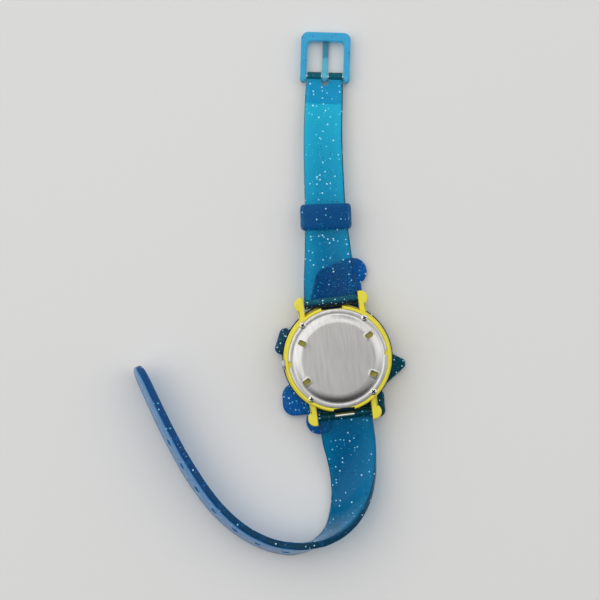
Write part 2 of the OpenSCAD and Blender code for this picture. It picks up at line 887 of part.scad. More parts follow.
module setting_slider() {
    color("orange") difference() {
        union() {
            block([-groove_x - slider_t / 2, -slider_w / 2, train_z + slip],
                  [-groove_x + slider_t / 2, slider_w / 2, stem_z + slider_w / 2]);
            block([-groove_x - slider_t / 2, slider_w / 2 - slider_foot_t, train_z + slip],
                  [-groove_x + slider_foot_len, slider_w / 2 + slider_foot_w,
                   train_z + slip + slider_foot_t]);
        }
        along_x(groove_r + slip, -groove_x - slider_w, -groove_x + slider_w, 0, stem_z);
    }
}

module crown() {
    x0 = -crown_tip_x;
    color("silver") difference() {
        along_x(crown_r, x0, x0 + crown_len, 0, stem_z);
        for (i = [0:crown_flutes - 1]) let (a = 360 * i / crown_flutes)
            along_x(flute_r, x0 - cut_over, x0 + crown_len + cut_over,
                    crown_r * cos(a), stem_z + crown_r * sin(a));
        along_x(stem_r + thread_slip, x0 + crown_len / 2, x0 + crown_len + cut_over, 0, stem_z);
    }
}

// Spring bars, upper at twelve and lower at six o'clock

bar_tube_r = 0.7;
bar_bore_r = 0.52;
bar_end_gap = 0.3;
bar_half_len = lug_inner - bar_end_gap;
piston_r = bar_bore_r - slip / 2;
piston_len = 2;
piston_back = 0.6;

module bar_tube(side) {
    color("silver") difference() {
        along_x(bar_tube_r, -bar_half_len, bar_half_len, side * bar_reach, bar_z);
        along_x(bar_bore_r, -bar_half_len - cut_over, bar_half_len + cut_over, side * bar_reach, bar_z);
    }
}

module bar_spring(side) {
    half = bar_half_len - piston_back - piston_len;
    color("gray") difference() {
        along_x(piston_r, -half, half, side * bar_reach, bar_z);
        along_x(piston_r / 2, -half - cut_over, half + cut_over, side * bar_reach, bar_z);
    }
}

module bar_tip(side, hand) {
    color("silver") mirror([hand < 0 ? 1 : 0, 0, 0]) {
        along_x(piston_r, bar_half_len - piston_back - piston_len, bar_half_len - piston_back,
                side * bar_reach, bar_z);
        along_x(tip_r, bar_half_len - piston_back - slip, lug_inner + tip_reach, side * bar_reach, bar_z);
    }
}

module upper_bar_tube() { bar_tube(1); }
module upper_bar_spring() { bar_spring(1); }
module upper_bar_left_tip() { bar_tip(1, -1); }
module upper_bar_right_tip() { bar_tip(1, 1); }
module lower_bar_tube() { bar_tube(-1); }
module lower_bar_spring() { bar_spring(-1); }
module lower_bar_left_tip() { bar_tip(-1, -1); }
module lower_bar_right_tip() { bar_tip(-1, 1); }

// Straps. A strap is a rounded section carried along a smooth curve through chosen points.

function unit(v) = v / norm(v);
function between(a, b, t) = a + (b - a) * t;

// Value of a table of [share, value] rows at a share, read along straight lines
function table_at(rows, s, i = 0) =
    i >= len(rows) - 2 || s <= rows[i + 1][0]
        ? between(rows[i][1], rows[i + 1][1], (s - rows[i][0]) / (rows[i + 1][0] - rows[i][0]))
        : table_at(rows, s, i + 1);

// Smooth curve through evenly spaced points, at a share of its length
function curve_at(points, s) = let (
        n = len(points) - 1,
        i = min(floor(s * n), n - 1),
        t = s * n - i,
        p1 = points[i],
        p2 = points[i + 1],
        p0 = i > 0 ? points[i - 1] : 2 * p1 - p2,
        p3 = i < n - 1 ? points[i + 2] : 2 * p2 - p1)
    (2 * p1 + (p2 - p0) * t + (2 * p0 - 5 * p1 + 4 * p2 - p3) * t * t
        + (3 * p1 - p0 - 3 * p2 + p3) * t * t * t) / 2;

edge_steps = 2;
edge_share = 0.32;

// Rounded section as [across, through] pairs
function section(w, t) = let (r = min(w, t) * edge_share)
    [for (c = [0:3], k = [0:edge_steps])
        let (a = 90 * c + 90 * k / edge_steps,
             x = (w / 2 - r) * (c == 0 || c == 3 ? 1 : -1),
             y = (t / 2 - r) * (c < 2 ? 1 : -1))
        [x + r * cos(a), y + r * sin(a)]];

// frames holds [centre, across, through, width, thickness] for each section
module strap_skin(frames) {
    rings = [for (f = frames) [for (q = section(f[3], f[4])) f[0] + q[0] * f[1] + q[1] * f[2]]];
    n = len(rings[0]);
    last = len(rings) - 1;
    sides = [for (i = [0:last - 1], j = [0:n - 1])
        let (a = i * n + j, b = i * n + (j + 1) % n, c = a + n, d = b + n)
        each [[a, b, c], [b, d, c]]];
    caps = [for (j = [1:n - 2]) each [[0, j + 1, j], [last * n, last * n + j, last * n + j + 1]]];
    polyhedron(points = [for (r = rings, p = r) p], faces = concat(sides, caps));
}

module at_frame(f) {
    along = cross(f[2], f[1]);
    multmatrix([[f[1][0], along[0], f[2][0], f[0][0]],
                [f[1][1], along[1], f[2][1], f[0][1]],
                [f[1][2], along[2], f[2][2], f[0][2]],
                [0, 0, 0, 1]]) children();
}

// Buckle half: straight out of the lugs, then down to the table, bending a little sideways
upper_route_shares = [[0, 0], [0.0165, 0.25], [0.034, 0.499], [0.059, 0.748], [0.0975, 0.995]];
upper_width_shares = [[0, 1], [0.1, 0.96], [0.2, 0.88], [0.32, 0.805], [0.45, 0.755], [0.67, 0.73],
                      [0.92, 0.705], [1, 0.67]];
upper_steps = 24;
step_small = 0.004;
pin_z = buckle_t / 2;
upper_start_share = 0.01;
upper_stop_share = 0.985;

function upper_point(s) = let (p = curve_at(upper_route_shares, s))
    [p[0] * upper_len, bar_reach + p[1] * upper_len, between(bar_z, pin_z, s)];

function frame_of(p, q, roll, w) = let (
        along = unit(q - p),
        flat = unit(cross(along, [0, 0, 1])),
        up = cross(flat, along))
    [(p + q) / 2, flat * cos(roll) - up * sin(roll), up * cos(roll) + flat * sin(roll), w, strap_t];

function upper_frame(s) = frame_of(upper_point(max(s - step_small, 0)), upper_point(min(s + step_small, 1)),
    0, strap_w * table_at(upper_width_shares, s));

pin_frame = upper_frame(1);
pin_heading = atan2(pin_frame[1][1], pin_frame[1][0]);
pin_knuckle_r = 1.2;
strap_slot_w = tongue_w + 2 * soft_gap;
strap_slot_len = 1.5;
pin_knuckle_w = buckle_w - 2 * side_bar_w - 2 * soft_gap;

module at_pin() {
    translate(upper_point(1)) rotate([0, 0, pin_heading]) children();
}

module bar_knuckle(side) {
    along_x(knuckle_r, -strap_w / 2, strap_w / 2, side * bar_reach, bar_z);
}

module bar_hole(side) {
    along_x(bar_tube_r + slip, -strap_w, strap_w, side * bar_reach, bar_z);
}

module upper_strap() {
    color("deepskyblue") difference() {
        union() {
            strap_skin([for (i = [0:upper_steps])
                upper_frame(between(upper_start_share, upper_stop_share, i / upper_steps))]);
            bar_knuckle(1);
            at_pin() along_x(pin_knuckle_r, -pin_knuckle_w / 2, pin_knuckle_w / 2, 0, 0);
        }
        bar_hole(1);
        at_pin() {
            along_x(pin_r + slip / 2, -buckle_w, buckle_w, 0, 0);
            // slot that the tongue passes through
            block([-strap_slot_w / 2, -strap_slot_len, -buckle_t], [strap_slot_w / 2, buckle_t, buckle_t]);
            translate([0, -strap_slot_len, 0]) disc(strap_slot_w / 2, -buckle_t, buckle_t);
            // clear of the frame's round ends
            for (x = [-1, 1]) translate([x * (pin_knuckle_w / 2 + buckle_w), 0, 0])
                cube([2 * buckle_w, 2 * (ear_len + soft_gap), 2 * buckle_t], center = true);
        }
    }
}

// Half with the holes: it leaves the lugs flat, rolls onto its edge and curls back beside the case
lower_route_shares = [
    [0, 0], [0.0023, -0.0519], [0.004, -0.101], [0.0013, -0.151], [-0.0106, -0.2007], [-0.035, -0.2439],
    [-0.0704, -0.2772], [-0.1155, -0.2978], [-0.1648, -0.3005], [-0.2121, -0.2862], [-0.257, -0.2595],
    [-0.2927, -0.2285], [-0.3259, -0.1891], [-0.3532, -0.1465], [-0.3765, -0.102], [-0.3969, -0.0566],
    [-0.4151, -0.0105], [-0.4319, 0.0363], [-0.4476, 0.0836], [-0.463, 0.1315], [-0.4779, 0.1774]];
lower_width_shares = [[0, 1], [0.06, 0.99], [0.12, 0.905], [0.2, 0.835], [0.3, 0.785],
                      [0.4, 0.755], [1, 0.74]];
// Roll in degrees
lower_rolls = [[0, 0], [0.06, 2], [0.1, 9], [0.15, 22], [0.2, 38], [0.25, 58], [0.3, 80], [0.35, 98],
               [0.4, 107], [0.7, 108], [1, 104]];
lower_steps = 64;
tip_round_share = 0.05;
tip_steps = 6;
tip_end_share = 0.97;
settle_share = 0.2;
lower_start_share = 0.006;
notch_w = 5;
notch_back = -0.3;

function lower_width(s) = strap_w * table_at(lower_width_shares, s);
function lower_roll(s) = table_at(lower_rolls, s);
function lower_rest_height(s) =
    abs(lower_width(s) / 2 * sin(lower_roll(s))) + abs(strap_t / 2 * cos(lower_roll(s)));
function lower_point(s) = let (p = curve_at(lower_route_shares, s))
    [p[0] * lower_len, p[1] * lower_len - bar_reach,
     between(bar_z, lower_rest_height(s), ease(min(s / settle_share, 1)))];
function tip_narrowing(s) = let (t = max(0, (s - 1 + tip_round_share) / tip_round_share))
    sqrt(1 - t * t);
function lower_frame(s) = frame_of(lower_point(max(s - step_small, 0)), lower_point(min(s + step_small, 1)),
    lower_roll(s), lower_width(s) * tip_narrowing(s));

lower_stations = concat(
    [for (i = [0:lower_steps]) between(lower_start_share, 1 - tip_round_share, i / lower_steps)],
    [for (i = [1:tip_steps])
        1 - tip_round_share + tip_round_share * tip_end_share * sin(90 * i / tip_steps)]);

module lower_strap() {
    color("dodgerblue") difference() {
        union() {
            strap_skin([for (s = lower_stations) lower_frame(s)]);
            bar_knuckle(-1);
        }
        bar_hole(-1);
        // the spring bar shows through a notch in the knuckle
        block([-notch_w / 2, notch_back - bar_reach, bar_z - knuckle_r - cut_over],
              [notch_w / 2, notch_back + 2 * knuckle_r - bar_reach, bar_z + knuckle_r + cut_over]);
        for (i = [0:hole_count - 1])
            at_frame(lower_frame((first_hole + i * hole_pitch) / lower_len))
                cylinder(r = hole_r, h = 2 * strap_t, center = true, $fn = 32);
    }
}

// Keeper: a flat band round the strap, which lies on the table

keeper_share = 0.375;
keeper_aim_share = 0.56;
keeper_lift = 0.05;
keeper_corner = 0.8;
keeper_round = 0.9;
keeper_widest_share = 0.8;
keeper_inside_w = strap_w * keeper_widest_share + 2 * keeper_room;
keeper_w = keeper_inside_w + 2 * keeper_wall;
keeper_h = keeper_inside_h + 2 * keeper_wall;
keeper_aim = upper_frame(keeper_aim_share)[1];

module band_section(w, h, r) {
    for (x = [r - w / 2, w / 2 - r], z = [r - h / 2, h / 2 - r]) translate([x, z]) circle(r = r);
    square([w - 2 * r, h], center = true);
    square([w, h - 2 * r], center = true);
}

module keeper_loop() {
    place = upper_point(keeper_share);
    w = keeper_w / 2;
    l = keeper_len / 2;
    c = keeper_corner;
    color("navy") translate([place[0], place[1], keeper_lift + keeper_h / 2])
        rotate([0, 0, atan2(keeper_aim[1], keeper_aim[0])]) intersection() {
            rotate([90, 0, 0]) translate([0, 0, -l]) linear_extrude(keeper_len) difference() {
                band_section(keeper_w, keeper_h, keeper_round);
                band_section(keeper_inside_w, keeper_inside_h, keeper_round - keeper_wall + loose);
            }
            translate([0, 0, -keeper_h]) linear_extrude(2 * keeper_h)
                polygon([[-w, c - l], [c - w, -l], [w - c, -l], [w, c - l],
                         [w, l - c], [w - c, l], [c - w, l], [-w, l - c]]);
        }
}

// Buckle. Its pieces are drawn about the pin, with the frame running along +Y.

ear_len = 1.6;
ear_bore_deep = 1.2;
eye_r = 1.15;
groove_gap = 0.2;
window_corner_r = 1.2;
tongue_tip_gap = 0.2;

module frame_plan() {
    w = buckle_w / 2;
    r = buckle_corner_r;
    inner = w - side_bar_w;
    window_end = buckle_reach - end_bar_w;
    difference() {
        union() {
            translate([-w, 0]) square([buckle_w, buckle_reach - r]);
            translate([r - w, 0]) square([buckle_w - 2 * r, buckle_reach]);
            for (x = [r - w, w - r]) translate([x, buckle_reach - r]) circle(r = r);
            for (x = [-w, inner]) translate([x, side_bar_w / 2 - ear_len]) square([side_bar_w, ear_len]);
            for (x = [side_bar_w / 2 - w, w - side_bar_w / 2])
                translate([x, side_bar_w / 2 - ear_len]) circle(r = side_bar_w / 2);
        }
        translate([-inner, -ear_len]) square([2 * inner, window_end + ear_len - window_corner_r]);
        translate([window_corner_r - inner, -ear_len])
            square([2 * (inner - window_corner_r), window_end + ear_len]);
        for (x = [window_corner_r - inner, inner - window_corner_r])
            translate([x, window_end - window_corner_r]) circle(r = window_corner_r);
    }
}

module buckle_frame() {
    bore_x = buckle_w / 2 - side_bar_w + ear_bore_deep;
    color("deepskyblue") at_pin() difference() {
        translate([0, 0, -buckle_t / 2]) linear_extrude(buckle_t) frame_plan();
        along_x(pin_r + slip, -bore_x, bore_x, 0, 0);
        // seat for the tongue in the outer side of the end bar
        block([-tongue_w / 2 - groove_gap, buckle_reach - end_bar_w - cut_over, -buckle_t],
              [tongue_w / 2 + groove_gap, buckle_reach + cut_over,
               tongue_t + groove_gap - eye_r]);
    }
}

module buckle_tongue() {
    color("skyblue") at_pin() difference() {
        union() {
            along_x(eye_r, -tongue_w / 2, tongue_w / 2, 0, 0);
            block([-tongue_w / 2, 0, -eye_r],
                  [tongue_w / 2, buckle_reach - tongue_tip_gap, tongue_t - eye_r]);
        }
        along_x(pin_r + slip, -tongue_w, tongue_w, 0, 0);
    }
}

module buckle_pin() {
    half = buckle_w / 2 - side_bar_w + ear_bore_deep - loose;
    color("teal") at_pin() along_x(pin_r, -half, half, 0, 0);
}

case_body();
case_back();
case_back_screws();
back_gasket();
crystal();
bezel_ring();
round_charm();
square_charm();
heart_charm();
triangle_charm();
small_square_charm();
dial();
hour_hand();
minute_hand();
second_hand();
movement_holder();
mainplate();
train_bridge();
bridge_screws();
circuit_board();
chip();
quartz_can();
coil();
stator();
rotor();
fifth_wheel();
seconds_wheel();
third_wheel();
centre_wheel();
minute_wheel();
hour_wheel();
battery();
battery_contact();
battery_clamp();
setting_slider();
stem();
crown();
upper_bar_tube();
upper_bar_spring();
upper_bar_left_tip();
upper_bar_right_tip();
lower_bar_tube();
lower_bar_spring();
lower_bar_left_tip();
lower_bar_right_tip();
upper_strap();
lower_strap();
keeper_loop();
buckle_frame();
buckle_tongue();
buckle_pin();
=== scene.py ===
from contextlib import contextmanager
import math

import bmesh
import bpy
from mathutils import Matrix, Vector
from mathutils.geometry import convex_hull_2d


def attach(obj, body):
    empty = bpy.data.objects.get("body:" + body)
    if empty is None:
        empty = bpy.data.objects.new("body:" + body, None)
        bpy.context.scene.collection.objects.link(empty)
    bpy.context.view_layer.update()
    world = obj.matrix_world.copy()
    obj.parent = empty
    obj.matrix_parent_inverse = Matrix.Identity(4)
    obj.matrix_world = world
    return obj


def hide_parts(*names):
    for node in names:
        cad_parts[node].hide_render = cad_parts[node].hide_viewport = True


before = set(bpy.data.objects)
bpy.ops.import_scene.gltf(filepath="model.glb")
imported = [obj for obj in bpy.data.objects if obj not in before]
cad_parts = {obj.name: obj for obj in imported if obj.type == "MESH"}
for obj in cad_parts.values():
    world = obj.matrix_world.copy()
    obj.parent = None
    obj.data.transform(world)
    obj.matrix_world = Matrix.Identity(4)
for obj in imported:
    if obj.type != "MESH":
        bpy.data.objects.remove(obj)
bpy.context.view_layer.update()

bl_info = {
    "name": "Toy Wristwatch",
    "version": (1, 0, 0),
    "blender": (4, 5, 0),
    "location": "3D View > Sidebar > Watch",
    "description": "Dresses the packed wristwatch: jelly straps, ornament charms, steel back and dial",
    "category": "Object",
}

MM = 0.001


# Colour and material helpers


def linear(code):
    """An sRGB hex code as linear RGBA."""
    channels = [int(code[i:i + 2], 16) / 255 for i in (1, 3, 5)]
    return tuple(c / 12.92 if c <= 0.04045 else ((c + 0.055) / 1.055) ** 2.4 for c in channels) + (1.0,)


def add(tree, kind, settings=None, inputs=None):
    """Adds a shader node, sets its properties, and sets or links its inputs."""
    made = tree.nodes.new("ShaderNode" + kind)
    for key, value in (settings or {}).items():
        setattr(made, key, value)
    for key, value in (inputs or {}).items():
        socket = made.inputs[key]
        if isinstance(value, bpy.types.NodeSocket):
            tree.links.new(value, socket)
        else:
            socket.default_value = value
    return made


def new_material(name):
    """An empty node material, its tree and its own object coordinates."""
    material = bpy.data.materials.new(name)
    material.use_nodes = True
    tree = material.node_tree
    tree.nodes.clear()
    coords = add(tree, "TexCoord").outputs["Object"]
    return material, tree, coords


def shaded(material, tree, inputs):
    """Ends a material's tree with its shader."""
    shader = add(tree, "BsdfPrincipled", inputs=inputs)
    add(tree, "OutputMaterial", inputs={"Surface": shader.outputs[0]})
    return material


# a Mix node's settings and sockets for two colours
COLOURS = {"data_type": "RGBA"}
SHARE, FIRST, SECOND, MIXED = 0, 6, 7, 2


def mottled(tree, coords, hex_a, hex_b, patch_mm):
    """Two close colours in soft patches of a real size."""
    noise = add(tree, "TexNoise", inputs={
        "Vector": coords, "Scale": 1 / (patch_mm * MM), "Detail": 3.0})
    return add(tree, "Mix", COLOURS, {
        SHARE: noise.outputs["Fac"], FIRST: linear(hex_a), SECOND: linear(hex_b)}).outputs[MIXED]


def grain(tree, coords, grit_mm, depth_mm, stretch=(1, 1, 1)):
    """(0..1 grain, bump normal) of a surface texture with a real spacing and depth."""
    mapped = add(tree, "Mapping", inputs={"Vector": coords, "Scale": stretch}).outputs["Vector"]
    noise = add(tree, "TexNoise", inputs={
        "Vector": mapped, "Scale": 1 / (grit_mm * MM), "Detail": 2.0})
    bump = add(tree, "Bump", inputs={
        "Height": noise.outputs["Fac"], "Distance": depth_mm * MM, "Strength": 1.0})
    return noise.outputs["Fac"], bump.outputs["Normal"]


def satin(tree, coords, smoothest, roughest, grit_mm, depth_mm, stretch=(1, 1, 1)):
    """Shader inputs of a grain that shows in the bump and in the roughness alike."""
    fac, normal = grain(tree, coords, grit_mm, depth_mm, stretch)
    rough = add(tree, "MapRange", inputs={"Value": fac, "To Min": smoothest, "To Max": roughest})
    return {"Roughness": rough.outputs["Result"], "Normal": normal}


def moulded_plastic(name, hex_a, hex_b, roughness, grit_mm=0.35, depth_mm=0.012):
    """Injection-moulded plastic: an even colour with faint flow marks and a fine satin skin."""
    material, tree, coords = new_material(name)
    return shaded(material, tree, {
        "Base Color": mottled(tree, coords, hex_a, hex_b, 3.0), "IOR": 1.5,
        **satin(tree, coords, roughness - 0.06, roughness + 0.08, grit_mm, depth_mm)})


def worked_metal(name, hex_a, hex_b, roughness, grit_mm=0.1, depth_mm=0.004, stretch=(1, 1, 1)):
    """Machined or plated metal: bright, with grain that runs along the stretched axis."""
    material, tree, coords = new_material(name)
    return shaded(material, tree, {
        "Base Color": mottled(tree, coords, hex_a, hex_b, 2.0), "Metallic": 1.0,
        **satin(tree, coords, roughness - 0.08, roughness + 0.1, grit_mm, depth_mm, stretch)})


def glitter(tree, coords, spacing_mm, fleck_mm, keep, strength=1.0):
    """(mask, colour) of round foil flecks scattered through a clear plastic."""
    cells = add(tree, "TexVoronoi", inputs={"Vector": coords, "Scale": 1 / (spacing_mm * MM)})
    near = add(tree, "MapRange", {"interpolation_type": "SMOOTHSTEP"}, {
        "Value": cells.outputs["Distance"], "From Min": 0.6 * fleck_mm / spacing_mm,
        "From Max": fleck_mm / spacing_mm, "To Min": strength, "To Max": 0.0}).outputs["Result"]
    chance = add(tree, "SeparateColor", inputs={"Color": cells.outputs["Color"]}).outputs
    kept = add(tree, "Math", {"operation": "LESS_THAN"}, {0: chance["Red"], 1: keep}).outputs[0]
    mask = add(tree, "Math", {"operation": "MULTIPLY"}, {0: near, 1: kept}).outputs[0]
    # the pale flecks are painted near white: a painted glint on the foil's pale colour
    bright = add(tree, "Mix", COLOURS, {
        SHARE: chance["Green"], FIRST: linear("#dcf6ff"), SECOND: linear("#60d0e6")}).outputs[MIXED]
    # a few flecks are painted dark blue: painted shade of flecks that lie in shadow on the far side
    painted_shade_share = 0.22
    painted_shade_fleck = add(tree, "Math", {"operation": "LESS_THAN"}, {0: chance["Blue"], 1: painted_shade_share}).outputs[0]
    colour = add(tree, "Mix", COLOURS, {
        SHARE: painted_shade_fleck, FIRST: bright, SECOND: linear("#0c4a74")}).outputs[MIXED]
    return mask, colour


# plasticised vinyl shines less than hard plastic of the same index, and its shine is a little blue
VINYL_SHINE = linear("#667f90")


def jelly_vinyl(name, hex_a, hex_b, clear=0.95, spacing_mm=1.1, fleck_mm=0.24, keep=0.65, roughness=0.14,
                along=None, hex_far=None, clear_far=None):
    """Soft clear PVC with foil flecks of two sizes: light passes through, tinted, under a wet gloss.

    along gives the axis and the two places in mm between which it moves on to hex_far and clear_far."""
    material, tree, coords = new_material(name)
    colour = mottled(tree, coords, hex_a, hex_b, 9.0)
    passes = clear
    if along:
        axis, start, stop = along
        place = add(tree, "SeparateXYZ", inputs={"Vector": coords}).outputs[axis]
        share = add(tree, "MapRange", inputs={
            "Value": place, "From Min": start * MM, "From Max": stop * MM}).outputs["Result"]
        colour = add(tree, "Mix", COLOURS, {
            SHARE: share, FIRST: colour, SECOND: linear(hex_far)}).outputs[MIXED]
        passes = add(tree, "MapRange", inputs={
            "Value": share, "To Min": clear, "To Max": clear_far or clear}).outputs["Result"]
    flakes, fleck = glitter(tree, coords, spacing_mm, fleck_mm, keep)
    # the dust between the flecks has half their size and strength
    dust, _ = glitter(tree, coords, spacing_mm * 0.55, fleck_mm * 0.5, keep * 0.5, 0.5)
    mask = add(tree, "Math", {"operation": "MAXIMUM"}, {0: flakes, 1: dust}).outputs[0]
    shown = add(tree, "Mix", COLOURS, {SHARE: mask, FIRST: colour, SECOND: fleck}).outputs[MIXED]
    through = add(tree, "MapRange", inputs={"Value": mask, "To Min": passes, "To Max": 0.0})
    return shaded(material, tree, {
        "Base Color": shown, "IOR": 1.53, "Specular Tint": VINYL_SHINE,
        "Transmission Weight": through.outputs["Result"],
        **satin(tree, coords, roughness - 0.04, roughness + 0.06, 1.6, 0.02)})


def brushed_steel_sheet(name):
    """Pressed stainless sheet: fine straight brush lines from twelve to six, a hazy shine across them."""
    material, tree, coords = new_material(name)
    # brush lines 0.16 mm apart and about 5 mm long in the bump, and 0.5 mm apart in the colour, to show
    fac, normal = grain(tree, coords, 0.16, 0.006, (1, 0.03, 1))
    streak, _ = grain(tree, coords, 0.5, 0.0, (1, 0.06, 1))
    cloud = add(tree, "TexNoise", inputs={
        "Vector": coords, "Scale": 1 / (4.5 * MM), "Detail": 3.0}).outputs["Fac"]
    both = add(tree, "Math", {"operation": "MULTIPLY"}, {0: fac, 1: cloud}).outputs[0]
    rough = add(tree, "MapRange", inputs={"Value": both, "To Min": 0.26, "To Max": 0.44})
    tone = add(tree, "MapRange", inputs={"Value": streak, "From Min": 0.3, "From Max": 0.7})
    colour = add(tree, "Mix", COLOURS, {
        SHARE: tone.outputs["Result"], FIRST: linear("#bab8b4"), SECOND: linear("#c8c6c3")}).outputs[MIXED]
    return shaded(material, tree, {
        "Base Color": colour, "Metallic": 1.0, "Roughness": rough.outputs["Result"], "Normal": normal})


def clear_acrylic(name):
    """Polished acrylic sheet: water-clear, with a faint haze of fine scratches."""
    material, tree, coords = new_material(name)
    return shaded(material, tree, {
        "Base Color": mottled(tree, coords, "#f6fbfc", "#fbfdfd", 6.0), "Transmission Weight": 1.0,
        "IOR": 1.49, **satin(tree, coords, 0.01, 0.04, 0.5, 0.0008)})


MATERIALS = {}


def material(name, maker, *args, **kwargs):
    """One copy of each material, made when it is first asked for."""
    if name not in MATERIALS:
        MATERIALS[name] = maker(name, *args, **kwargs)
    return MATERIALS[name]


def screw_steel():
    return material("nickel_plated_screw", worked_metal, "#c2beb6", "#d9d6cf", 0.3, 0.08, 0.003)


def bar_steel():
    return material("drawn_steel_bar", worked_metal, "#cfcdc6", "#e4e2dc", 0.22, 0.1, 0.002, (0.05, 1, 1))


# Mesh helpers


SAME_POINT = 0.0002 * MM
# in mm, like the carving itself
CARVING_MERGE = 0.0005


def finish_piece(obj, name, body, slot, node=None, degrees=30):
    """Names and shades a piece, hangs it on the body it rides on, and hides the CAD node it stands for."""
    obj.name = name
    if degrees:
        smooth(obj.data, degrees)
    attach(obj, body)
    if node:
        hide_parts(node)
    return obj


def mesh_from(bm, name):
    mesh = bpy.data.meshes.new(name)
    bmesh.ops.recalc_face_normals(bm, faces=bm.faces)
    if bm.calc_volume(signed=True) < 0:
        bmesh.ops.reverse_faces(bm, faces=bm.faces)
    bm.to_mesh(mesh)
    bm.free()
    return mesh


@contextmanager
def editing(mesh):
    """Edits a mesh in place."""
    bm = bmesh.new()
    bm.from_mesh(mesh)
    yield bm
    bm.to_mesh(mesh)
    bm.free()


def smooth(mesh, degrees):
    """Smooth shading that breaks at edges sharper than an angle."""
    limit = math.radians(degrees)
    with editing(mesh) as bm:
        for face in bm.faces:
            face.smooth = True
        for edge in bm.edges:
            edge.smooth = len(edge.link_faces) == 2 and edge.calc_face_angle(0) < limit


def settle(obj):
    """Applies the object's modifiers to its mesh."""
    bpy.context.view_layer.update()
    seen = obj.evaluated_get(bpy.context.evaluated_depsgraph_get())
    mesh = bpy.data.meshes.new_from_object(seen)
    obj.modifiers.clear()
    obj.data = mesh
    return mesh


def placed(name, data):
    """A new object in the scene."""
    obj = bpy.data.objects.new(name, data)
    bpy.context.scene.collection.objects.link(obj)
    return obj


def scratch(bm, name="scratch", *materials):
    """An object for cutting and joining, or to be finished as a piece."""
    mesh = mesh_from(bm, name)
    for m in materials:
        mesh.materials.append(m)
    return placed(name, mesh)


def carve(base, others, operation):
    """Joins or cuts base with the other temporary objects, which are used up.

    The work is done on triangles and in millimetres, because the solver needs flat faces and drops those
    that are as small as these in metres."""
    group = bpy.data.collections.new("carving")
    for obj in (base, *others):
        with editing(obj.data) as bm:
            bmesh.ops.triangulate(bm, faces=bm.faces)
            bm.transform(Matrix.Scale(1 / MM, 4))
    for other in others:
        group.objects.link(other)
    mod = base.modifiers.new("carve", "BOOLEAN")
    mod.operation = operation
    mod.solver = "EXACT"
    mod.material_mode = "TRANSFER"
    mod.operand_type = "COLLECTION"
    mod.collection = group
    with editing(settle(base)) as bm:
        bmesh.ops.remove_doubles(bm, verts=bm.verts, dist=CARVING_MERGE)
        bmesh.ops.dissolve_degenerate(bm, edges=bm.edges, dist=CARVING_MERGE)
        bm.transform(Matrix.Scale(MM, 4))
    for other in others:
        bpy.data.objects.remove(other)
    bpy.data.collections.remove(group)
    return base


def cut(base, shapes):
    return carve(base, [scratch(bm) for bm in shapes], "DIFFERENCE")


def loops_to_faces(bm, loops, closed=True, material_of=None):
    """Skins rows of points into quads, with each row closed round. Closed joins the last row to the first."""
    rows = [[bm.verts.new(p) for p in loop] for loop in loops]
    last = len(rows) if closed else len(rows) - 1
    for i in range(last):
        a, b = rows[i], rows[(i + 1) % len(rows)]
        for j in range(len(a)):
            k = (j + 1) % len(a)
            face = bm.faces.new((a[j], a[k], b[k], b[j]))
            if material_of:
                face.material_index = material_of(i, j)
    return rows


def lathe(profile, steps, centre=(0, 0), angles=None):
    """A closed profile of (radius, z) turned about Z, in mm. Points on the axis become poles.

    angles gives the places of the steps in degrees, where they aren't even."""
    bm = bmesh.new()
    columns = []
    angles = angles or [360 * k / steps for k in range(steps)]
    steps = len(angles)
    for r, z in profile:
        if r == 0:
            columns.append([bm.verts.new((centre[0] * MM, centre[1] * MM, z * MM))] * steps)
            continue
        ring = [polar(r, a) for a in angles]
        columns.append([bm.verts.new(((centre[0] + x) * MM, (centre[1] + y) * MM, z * MM)) for x, y in ring])
    count = len(columns)
    for i in range(count):
        a, b = columns[i], columns[(i + 1) % count]
        if a[0] is a[1] and b[0] is b[1]:
            continue
        for k in range(steps):
            n = (k + 1) % steps
            corners = list(dict.fromkeys([a[k], a[n], b[n], b[k]]))
            bm.faces.new(corners)
    return bm


def prism(outline, z0, z1):
    """An outline of (x, y) raised between two heights, in mm."""
    bm = bmesh.new()
    low = [bm.verts.new((x * MM, y * MM, z0 * MM)) for x, y in outline]
    high = [bm.verts.new((x * MM, y * MM, z1 * MM)) for x, y in outline]
    bm.faces.new(list(reversed(low)))
    bm.faces.new(high)
    count = len(outline)
    for i in range(count):
        j = (i + 1) % count
        bm.faces.new((low[i], low[j], high[j], high[i]))
    return bm


def rod(radius, length, place, turn=Matrix(), steps=48, chamfer=0.0):
    """A round bar centred on its place, along the turned Z axis, in mm."""
    half = length / 2
    rim = [(radius, -half), (radius, half)]
    if chamfer:
        low, high = chamfer - half, half - chamfer
        rim = [(radius - chamfer, -half), (radius, low), (radius, high), (radius - chamfer, half)]
    bm = lathe([(0, -half), *rim, (0, half)], steps)
    bm.transform(Matrix.Translation(Vector(place) * MM) @ turn.to_4x4())
    return bm


def upright(radius, length, z, reach, degrees, steps):
    """A rod parallel to Z, with its middle at a height, at a reach and angle from the centre."""
    return rod(radius, length, (*polar(reach, degrees), z), steps=steps)


def block(size, place, within=Matrix()):
    """A box for cutting, centred on its place within a frame, in mm."""
    bm = bmesh.new()
    bmesh.ops.create_cube(bm, size=1.0)
    shift = Matrix.Translation([v * MM for v in place])
    bm.transform(within @ shift @ Matrix.Diagonal([v * MM for v in size] + [1]))
    return bm


ALONG_X = Matrix.Rotation(math.pi / 2, 4, "Y")


def polar(reach, degrees):
    return reach * math.cos(math.radians(degrees)), reach * math.sin(math.radians(degrees))


def arc(cx, cy, r, start, stop, steps):
    turns = [polar(r, start + (stop - start) * k / steps) for k in range(steps + 1)]
    return [(cx + x, cy + y) for x, y in turns]


